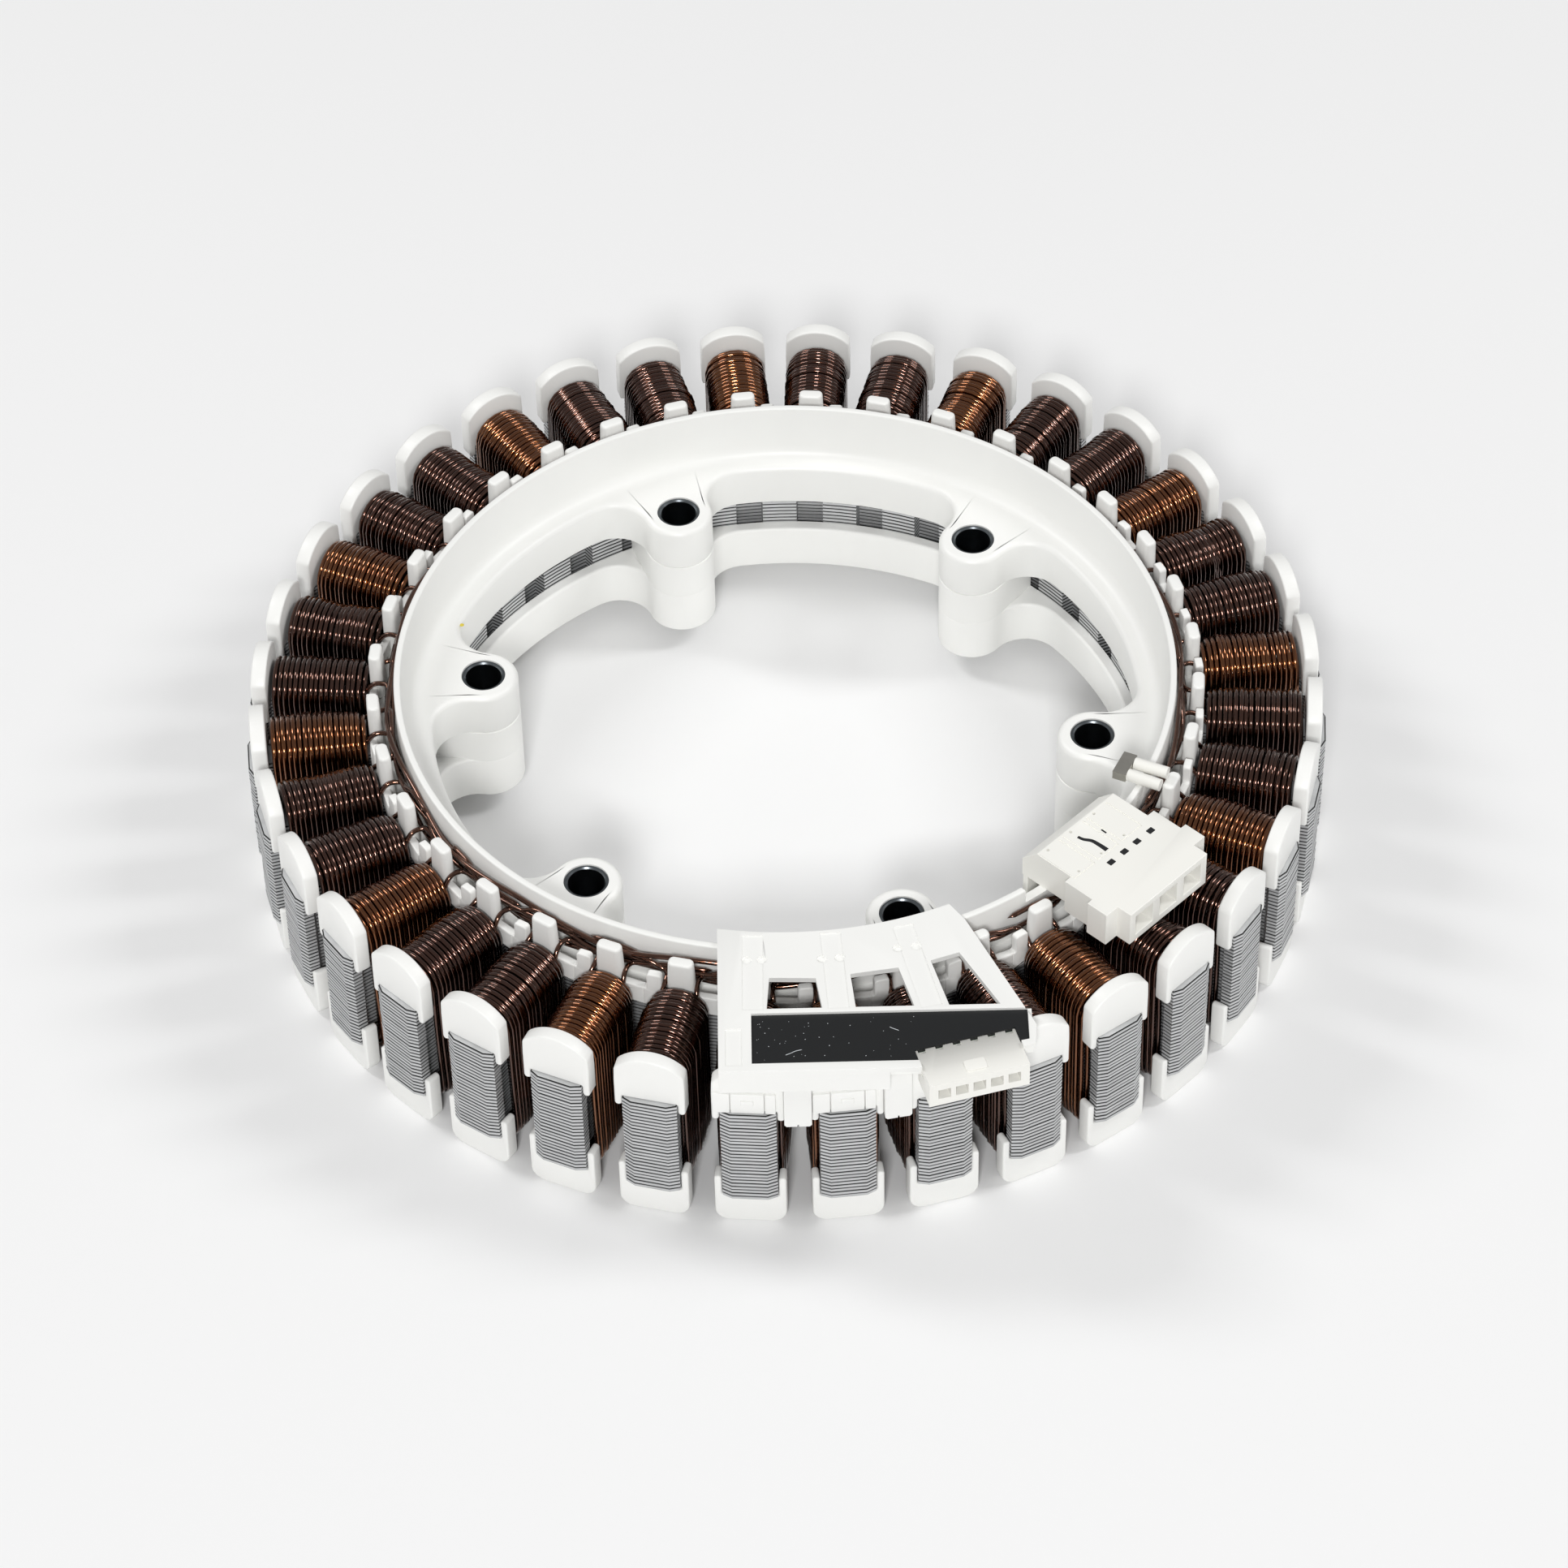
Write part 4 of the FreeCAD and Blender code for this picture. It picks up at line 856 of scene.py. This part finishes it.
class STATOR_OT_caps(bpy.types.Operator):
    """Moulds the arched caps at the tooth tips, their feet and the two latch tabs"""
    bl_idname = "stator.caps"
    bl_label = "Winding caps"

    def execute(self, context):
        face = sizes().cap_face
        top = STACK_TOP
        over = arch(CAP_HALF - 0.15, top + 9.3, top + 13.2)
        leg = [(CAP_HALF, top + 5.2), (CAP_HALF, top - 3.2), (LEG_INSIDE, top - 3.2), (LEG_INSIDE, top)]
        leg_radii = [2.0, 0.8, 0.8, 0.35]
        outline = np.concatenate([over, [(-y, z) for y, z in leg], leg[::-1]])
        radii = np.concatenate([[1.4], np.full(len(over) - 2, 3.0), [1.4], leg_radii, leg_radii[::-1]])
        cap = soft_prism(round_corners(outline, radii, 3), TIP_BACK, face, 0.5)
        white_piece("upper_caps", at_teeth(cap))
        foot_top = STACK_BOTTOM + 6.3
        side = [(LEG_INSIDE, STACK_BOTTOM), (LEG_INSIDE, foot_top), (CAP_HALF, foot_top), (CAP_HALF, 0.0)]
        half_radii = [0.35, 0.8, 0.8, 3.4]
        foot = round_corners(side + [(-y, z) for y, z in side[::-1]], half_radii + half_radii[::-1], 5)
        white_piece("lower_caps", at_teeth(soft_prism(foot, TIP_BACK, face, 0.5)))
        tabs = []
        for tooth in (0, 1):
            for y0, y1 in ((-8.2, -4.15), (-3.95, 3.85), (4.05, 6.5)):
                plate = round_corners(box_outline(y0, y1, top + 0.1, top + 6.6), 0.25, 3)
                tabs.append(at_tooth(soft_prism(plate, face - 0.2, face + 0.75, 0.2), tooth))
            catch = round_corners(box_outline(-1.6, 1.4, top + 2.9, top + 4.5), 0.2, 3)
            tabs.append(at_tooth(soft_prism(catch, face + 0.6, face + 1.1, 0.2), tooth))
        white_piece("latch_tabs", joined(tabs))
        return {"FINISHED"}


# ---------------------------------------------------------------- bobbin walls and pegs

class STATOR_OT_walls(bpy.types.Operator):
    """Moulds the walls at the coils' inner ends, with a wire guide and a peg at each tooth"""
    bl_idname = "stator.walls"
    bl_label = "Bobbin walls and pegs"

    def execute(self, context):
        outer = sizes().bobbin_wall
        inner = outer - 2.0
        half = outer * math.tan(PITCH / 2) + 0.02
        sill, notch, rise, guide = STACK_TOP - 0.05, STACK_TOP + 4.0, STACK_TOP + 5.6, STACK_TOP + 10.4
        upper = [(-half, sill), (half, sill), (half, rise), (3.0, rise), (3.0, notch),
                 (-4.6, notch), (-4.6, guide), (-8.2, guide), (-8.2, rise), (-half, rise)]
        radii = [0.05, 0.05, 0.3, 0.3, 0.3, 0.3, 0.8, 0.8, 0.5, 0.3]
        wall = soft_prism(round_corners(upper, radii), inner, outer, 0.35)
        under = box_outline(-half, half, STACK_BOTTOM - 6.0, STACK_BOTTOM + 0.05)
        foot = soft_prism(under, inner, outer, 0.3)
        plan = round_corners(box_outline(outer - 3.6, outer, -3.6, 3.6), 1.45, 5)
        peg = soft_prism(plan, CHANNEL_FLOOR, RIM_TOP - 0.6, 0.75, axis=2, steps=4, top_scale=0.84,
                         pivot=(outer, 0.0))
        stub = soft_prism(plan, CHANNEL_FLOOR, POWER_SEAT, 0.2, axis=2, steps=2)
        # Two pegs stop under the power connector.
        short = np.isin(np.arange(TEETH), (POWER_TOOTH, POWER_TOOTH + 1))
        angles = tooth_angles()
        white_piece("bobbin_walls", joined([at_teeth(wall), at_teeth(foot)]))
        white_piece("wire_pegs", joined([around(peg, angles[~short]), around(stub, angles[short])]),
                    ("upper_insulator", "lower_insulator"))
        return {"FINISHED"}


# ---------------------------------------------------------------- windings

def coil_loop(points=256):
    """One turn in its own plane: half an ellipse over the tooth, straight sides and half an ellipse under it,
    at even spacing."""
    t = np.linspace(0, math.pi, 40)
    over = np.stack([COIL_HALF * np.cos(t), STACK_TOP + 2.6 + 7.0 * np.sin(t)], 1)
    under = np.stack([-COIL_HALF * np.cos(t), STACK_BOTTOM - 1.0 - 6.2 * np.sin(t)], 1)
    line = np.concatenate([over, under, over[:1]])
    length = np.concatenate([[0], np.cumsum(np.linalg.norm(np.diff(line, axis=0), axis=1))])
    even = np.linspace(0, length[-1], points, endpoint=False)
    loop = np.stack([np.interp(even, length, line[:, 0]), np.interp(even, length, line[:, 1])], 1)
    return np.roll(loop, -int(np.argmin(loop[:, 1])), 0)


# How far the turns of a coil stray, in millimetres: one standard deviation along the tooth, of their slant,
# inward, and of their tilt.
STRAY, SLANT, SINK, TILT = 0.07, 0.07, 0.10, 0.08


def winding(rng, depth, turns, per_turn, sides, start, end, lean):
    """A wire wound round the tooth: it climbs evenly along the tooth while it follows the loop, drawn in from
    it by the layer's depth. Its turns stray a little, the layer sinks at both ends as e to the minus
    distance, and one broad swelling or hollow, a bell curve, lies somewhere between."""
    loop = coil_loop()
    inward = left_normals(loop)
    w = np.arange(turns * per_turn + 1) / per_turn
    share = (w % 1.0) * len(loop)
    i0 = share.astype(int) % len(loop)
    i1 = (i0 + 1) % len(loop)
    f = (share % 1.0)[:, None]
    flat = loop[i0] * (1 - f) + loop[i1] * f
    into = inward[i0] * (1 - f) + inward[i1] * f
    jitter = rng.normal(0, 1, (turns + 1, 6))[np.minimum(w.astype(int), turns - 1)]
    wave = np.cos(2 * math.pi * (w + jitter[:, 0] * 0.15))
    x = start + (end - start) * w / turns + STRAY * jitter[:, 1] + SLANT * jitter[:, 2] * wave
    x = x + lean * np.sin(2 * math.pi * w)
    sunk = np.exp(-(x - start) / 1.6) * 1.9 + np.exp(-(end - x) / 1.2) * 0.7
    centre, width, height = rng.uniform(start + 4, end - 4), rng.uniform(3, 7), rng.uniform(-0.9, 0.7)
    swelling = height * np.exp(-((x - centre) / width) ** 2)
    in_by = depth + sunk - swelling + SINK * jitter[:, 3] + TILT * jitter[:, 4] * wave
    in_by = np.maximum(in_by, depth - 0.5)
    path = np.concatenate([x[:, None], flat + into * in_by[:, None]], 1)
    out = np.concatenate([np.zeros((len(x), 1)), into], 1)
    return tube(path, sizes().wire / 2, sides, out)


class STATOR_OT_windings(bpy.types.Operator):
    """Winds the 36 coils, each as two layers of wire"""
    bl_idname = "stator.windings"
    bl_label = "Windings"

    def execute(self, context):
        s = sizes()
        start, end = s.bobbin_wall + 0.75, TIP_BACK - 1.0
        for number, angle in enumerate(tooth_angles()):
            rng = np.random.default_rng(100 + number)
            outer = winding(rng, s.wire / 2, s.turns, 45, 8, start, end, 0.25)
            inner = winding(rng, s.wire / 2 + 1.0, s.turns, 26, 5, start + 0.5, end + 0.1, -0.5)
            phase = PHASES[(number + 2) % 3]
            name = "{}_{:02d}".format(phase, number // 3 + 1)
            wire = amber_wire() if phase == "u" else brown_wire()
            piece("winding_" + name, turned(joined([outer, inner]), angle), wire, "winding_enamel",
                  ("coil_" + name,), sharp=180.0)
        return {"FINISHED"}


class STATOR_OT_crossovers(bpy.types.Operator):
    """Lays the wires that cross from coil to coil in the channel, and the two leads of every coil"""
    bl_idname = "stator.crossovers"
    bl_label = "Crossover wires and leads"

    def execute(self, context):
        s = sizes()
        first, spans = math.radians(-22.0), 31
        for number, phase in enumerate(PHASES):
            rng = np.random.default_rng(30 + number)
            knots = np.arange(spans * 2 + 1)
            swing = 2 * math.pi * (knots / 6.0 + number / 3.0)
            radius = 98.15 + 0.75 * np.cos(swing) + rng.uniform(-0.1, 0.1, len(knots))
            z = (45.2, 47.9, 50.3)[number] + 0.8 * np.sin(swing) + rng.uniform(-0.25, 0.25, len(knots))
            path = smooth_path(np.stack([radius, first + PITCH * 0.5 * knots, z], 1), 6)
            piece("crossover_wire_" + phase, wire_tube(path, s.wire / 2), crossover_wire(),
                  "crossover_enamel", ("crossover_" + phase,), sharp=180.0)
        leads = []
        wall = s.bobbin_wall
        for number, turn in enumerate(tooth_angles()):
            rng = np.random.default_rng(500 + number)
            level = (45.6, 48.0, 50.2)[number % 3]
            for side, past_guide in ((-1, 4.05), (1, 3.75)):
                y = side * past_guide / YOKE_RADIUS
                spread = side * math.radians(rng.uniform(5.5, 8.0))
                points = np.array([
                    (wall + 2.2, y + side * 0.012, 42.4), (wall + 1.0, y + side * 0.004, 44.4),
                    (wall - 0.9, y, 46.3 + side * 0.2), (wall - 3.0, y, 46.9),
                    (wall - 4.6, y + side * 0.01, 47.0), (98.6, y + side * 0.045, (47.0 + level) / 2),
                    (97.95, y + spread * 0.8, level), (97.75, y + spread * 1.5, level + 0.1)])
                points[:, 1] += turn
                leads.append(wire_tube(smooth_path(points, 5), s.wire / 2, 6))
        piece("coil_leads", joined(leads), crossover_wire(), "crossover_enamel", sharp=180.0)
        return {"FINISHED"}


# ---------------------------------------------------------------- sensor carrier and connectors

# Places on these pieces are given as on the tooth or the housing that carries them: the distance from the
# motor axis along its middle line, and the offset to its left.

class STATOR_OT_carrier(bpy.types.Operator):
    """Finishes the sensor carrier, its potted board and the lint on the resin"""
    bl_idname = "stator.carrier"
    bl_label = "Sensor carrier"

    def execute(self, context):
        top, foot = height_of("sensor_housing", 1), height_of("sensor_housing", 0)
        body = softened("sensor_carrier", "sensor_housing", pbt(), "white_pbt", 0.35)
        ribs = (((92.7, -9.0), (116.3, -9.2)), ((92.4, 9.2), (116.3, 10.7)), ((90.6, 26.2), (116.3, 32.2)))
        channels = [strip(a, b, 5.0, top - 0.28, top + 1, 0.02) for a, b in ribs]
        ends = ((100.4, -10.5), (100.5, -6.9), (100.7, 7.1), (100.3, 11.3), (97.9, 24.8), (97.2, 29.2))
        dimples = [disc(centre, 1.25, top - 0.75, top + 1) for centre in ends]
        pocket = slab(box_outline(122.0, 133.4, -15.7, -11.8), top - 0.3, top + 1, 0.02)
        nips = []
        # The tongues stand between the first three teeth; their lower corners are cut off and they are slit.
        for tongue in (0.5, 1.5):
            for side in (-1, 1):
                corner = np.array([(2.2, foot - 0.4), (3.6, foot - 0.4), (3.6, foot + 1.0)]) * (side, 1.0)
                nips.append(at_tooth(soft_prism(corner, 128.0, 136.0, 0.01, steps=1), tongue))
            slit = box_outline(-0.2, 0.2, foot - 0.4, foot + 0.7)
            nips.append(at_tooth(soft_prism(slit, 132.6, 135.4, 0.01, steps=1), tongue))
        from_above = [at_housing(shell) for shell in (joined(channels), joined(dimples), pocket)]
        cut_away(body, from_above + [joined(nips)])
        carried("sensor_potting", potting())
        carried("sensor_board", laminate())
        carried("hall_sensors", sensor_epoxy())
        level = height_of("sensor_potting", 1)
        specks = []
        for points in (((129.9, -1.9), (129.3, -0.6), (128.7, 0.5), (128.3, 2.0)),
                       ((121.9, 22.2), (122.4, 23.0), (123.1, 24.4))):
            line = smooth_path(np.array([p + (level + 0.06,) for p in points]), 6)
            specks.append(at_housing(tube(line, 0.09, 5, np.array([[0.0, 0.0, 1.0]]))))
        rng = np.random.default_rng(11)
        for x, y in zip(rng.uniform(118.5, 131.5, 46), rng.uniform(-9.0, 28.0, 46)):
            specks.append(at_housing(disc((x, y), rng.uniform(0.05, 0.13), level, level + 0.06, 5, 0.01)))
        piece("lint", joined(specks), lint(), "white_pbt")
        return {"FINISHED"}


class STATOR_OT_signal_plug(bpy.types.Operator):
    """Finishes the five-way signal connector"""
    bl_idname = "stator.signal_plug"
    bl_label = "Signal connector"

    def execute(self, context):
        top = height_of("sensor_connector", 1)
        body = softened("signal_connector", "sensor_connector", nylon(), "connector_nylon")
        comb = [slab(box_outline(131.0, 133.2, y - 0.95, y + 0.95), top - 0.9, top + 1, 0.02)
                for y in 4.75 + 4.2 * (np.arange(6) - 2.5)]
        cut_away(body, [at_tooth(joined(comb), SIGNAL_TOOTH)])
        plan = round_corners(box_outline(138.3, 141.6, 2.2, 7.3), 0.6, 3)
        latch = soft_prism(plan, top - 0.2, top + 0.35, 0.15, axis=2, steps=2)
        piece("signal_latch", at_tooth(latch, SIGNAL_TOOTH), nylon(), "connector_nylon", merge=True)
        carried("sensor_pins", tinned_brass())
        return {"FINISHED"}


class STATOR_OT_power_plug(bpy.types.Operator):
    """Finishes the three-way power connector, the pen marks on it and the painted shade of a thin slot in its
    top
    """
    bl_idname = "stator.power_plug"
    bl_label = "Power connector"

    def execute(self, context):
        top = height_of("power_connector", 1)
        body = softened("power_housing", "power_connector", nylon(), "connector_nylon", 0.3)
        ways = (-7.0, 1.4, 9.8)
        cut = (0.5, top - 0.25, top + 1, 0.02)
        edges = [way + side for way in ways for side in (-3.5, 3.5)]
        lines = [strip((93.4, y), (104.4, y), *cut) for y in edges]
        across = [strip((104.6, way - 3.6), (104.6, way + 3.6), *cut) for way in ways]
        holes = [disc((93.8, y), 0.4, top - 1.2, top + 1, 12, 0.02) for y in (-7.8, 0.3, 8.6)]
        holes += [disc((103.7, y), 0.35, top - 1.2, top + 1, 12, 0.02) for y in (-8.0, 0.0, 8.1)]
        cut_away(body, [at_tooth(joined(cutters), POWER_TOOTH) for cutters in (lines, across, holes)])
        carried("power_terminals", tinned_brass())
        ink = (top - 0.05, top + 0.03)
        marks = [slab(round_corners(box_outline(106.6, 108.1, y - 0.95, y + 0.95), 0.12, 2), *ink)
                 for y in (-0.6, 4.1, 8.6, 13.5)]
        middle = smooth_path(np.array([(96.1, 0.2), (97.6, 0.5), (99.4, 1.5), (101.6, 1.7), (104.0, 1.7)]), 6)
        way = np.gradient(middle, axis=0)
        way /= np.linalg.norm(way, axis=1, keepdims=True)
        side = np.stack([-way[:, 1], way[:, 0]], 1) * np.linspace(0.38, 0.62, len(middle))[:, None]
        marks.append(slab(np.concatenate([middle + side, (middle - side)[::-1]]), *ink))
        # A thin slot in the top is not cut: its shade is painted as a dark strip in the same ink.
        marks.append(strip((98.6, 5.8), (100.2, 5.75), 0.45, *ink, 0.01))
        piece("pen_marks_and_slot_shade", at_tooth(joined(marks), POWER_TOOTH), marker_ink_and_slot_shade(), "connector_nylon")
        return {"FINISHED"}


class STATOR_OT_splice(bpy.types.Operator):
    """Finishes the splice of the winding tails"""
    bl_idname = "stator.splice"
    bl_label = "Splice"

    def execute(self, context):
        carried("splice_terminal", tinned_brass())
        carried("splice_sleeves", nylon())
        return {"FINISHED"}


# ---------------------------------------------------------------- stage

class STATOR_OT_stage(bpy.types.Operator):
    """Sets up the floor, the soft lamps and the camera"""
    bl_idname = "stator.stage"
    bl_label = "Studio"

    def execute(self, context):
        p = context.scene.stator_stage
        objects = context.scene.collection.objects
        paper, _, shader = finish("Paper backdrop", 0.9)
        shader.inputs["Base Color"].default_value = linear(p.floor)
        shader.inputs["Specular IOR Level"].default_value = 0.1
        mesh = bpy.data.meshes.new("floor")
        reach = 4.0
        mesh.from_pydata([(-reach, -reach, 0), (reach, -reach, 0), (reach, reach, 0), (-reach, reach, 0)],
                         [], [(0, 1, 2, 3)])
        mesh.materials.append(paper)
        floor = bpy.data.objects.new("floor", mesh)
        objects.link(floor)
        world = bpy.data.worlds.new("Studio")
        context.scene.world = world
        world.use_nodes = True
        background = world.node_tree.nodes["Background"]
        background.inputs["Color"].default_value = (1.0, 1.0, 1.0, 1.0)
        background.inputs["Strength"].default_value = p.ambient
        # Name, place and aim in metres, width and depth, power in watts.
        lamps = (
            ("Left softbox", (-1.25, 0.35, 1.5), (0.0, 0.0, 0.0), (0.35, 0.7), 9.5),
            ("Right softbox", (1.25, 0.35, 1.5), (0.0, 0.0, 0.0), (0.35, 0.7), 10.0),
            ("Front softbox", (0.25, -2.5, 2.05), (0.0, 0.0, 0.02), (0.5, 0.5), 49.0),
        )
        for name, place, aim, (wide, deep), power in lamps:
            light = bpy.data.lights.new(name, "AREA")
            light.shape = "RECTANGLE"
            light.size, light.size_y, light.energy = wide, deep, power
            lamp = bpy.data.objects.new(name, light)
            lamp.location = place
            lamp.rotation_euler = (Vector(place) - Vector(aim)).to_track_quat("Z", "Y").to_euler()
            objects.link(lamp)
        data = bpy.data.cameras.new("Camera")
        data.sensor_width = 36.0
        data.lens = p.lens
        data.clip_end = 20.0
        camera = bpy.data.objects.new("Camera", data)
        camera.location = p.place
        camera.rotation_euler = p.turn
        objects.link(camera)
        context.scene.camera = camera
        context.scene.view_settings.view_transform = "Standard"
        return {"FINISHED"}


OPERATORS = (
    STATOR_OT_core, STATOR_OT_upper_ring, STATOR_OT_lower_ring, STATOR_OT_caps, STATOR_OT_walls,
    STATOR_OT_sleeves, STATOR_OT_windings, STATOR_OT_crossovers, STATOR_OT_carrier, STATOR_OT_signal_plug,
    STATOR_OT_power_plug, STATOR_OT_splice, STATOR_OT_stage,
)


class STATOR_PT_panel(bpy.types.Panel):
    """Lists the stator's pieces and sizes"""
    bl_idname = "STATOR_PT_panel"
    bl_label = "Wound stator"
    bl_space_type = "VIEW_3D"
    bl_region_type = "UI"
    bl_category = "Stator"

    def draw(self, context):
        for group in (context.scene.stator_sizes, context.scene.stator_finishes, context.scene.stator_stage):
            box = self.layout.box()
            for key in group.__annotations__:
                box.prop(group, key)
        for operator in OPERATORS:
            self.layout.operator(operator.bl_idname)


CLASSES = (STATOR_PG_sizes, STATOR_PG_finishes, STATOR_PG_stage) + OPERATORS + (STATOR_PT_panel,)


def register():
    for item in CLASSES:
        bpy.utils.register_class(item)
    bpy.types.Scene.stator_sizes = PointerProperty(type=STATOR_PG_sizes)
    bpy.types.Scene.stator_finishes = PointerProperty(type=STATOR_PG_finishes)
    bpy.types.Scene.stator_stage = PointerProperty(type=STATOR_PG_stage)


def unregister():
    del bpy.types.Scene.stator_stage
    del bpy.types.Scene.stator_finishes
    del bpy.types.Scene.stator_sizes
    for item in reversed(CLASSES):
        bpy.utils.unregister_class(item)


def main():
    register()
    for operator in OPERATORS:
        group, name = operator.bl_idname.split(".")
        getattr(getattr(bpy.ops, group), name)()


if __name__ == "__main__":
    main()
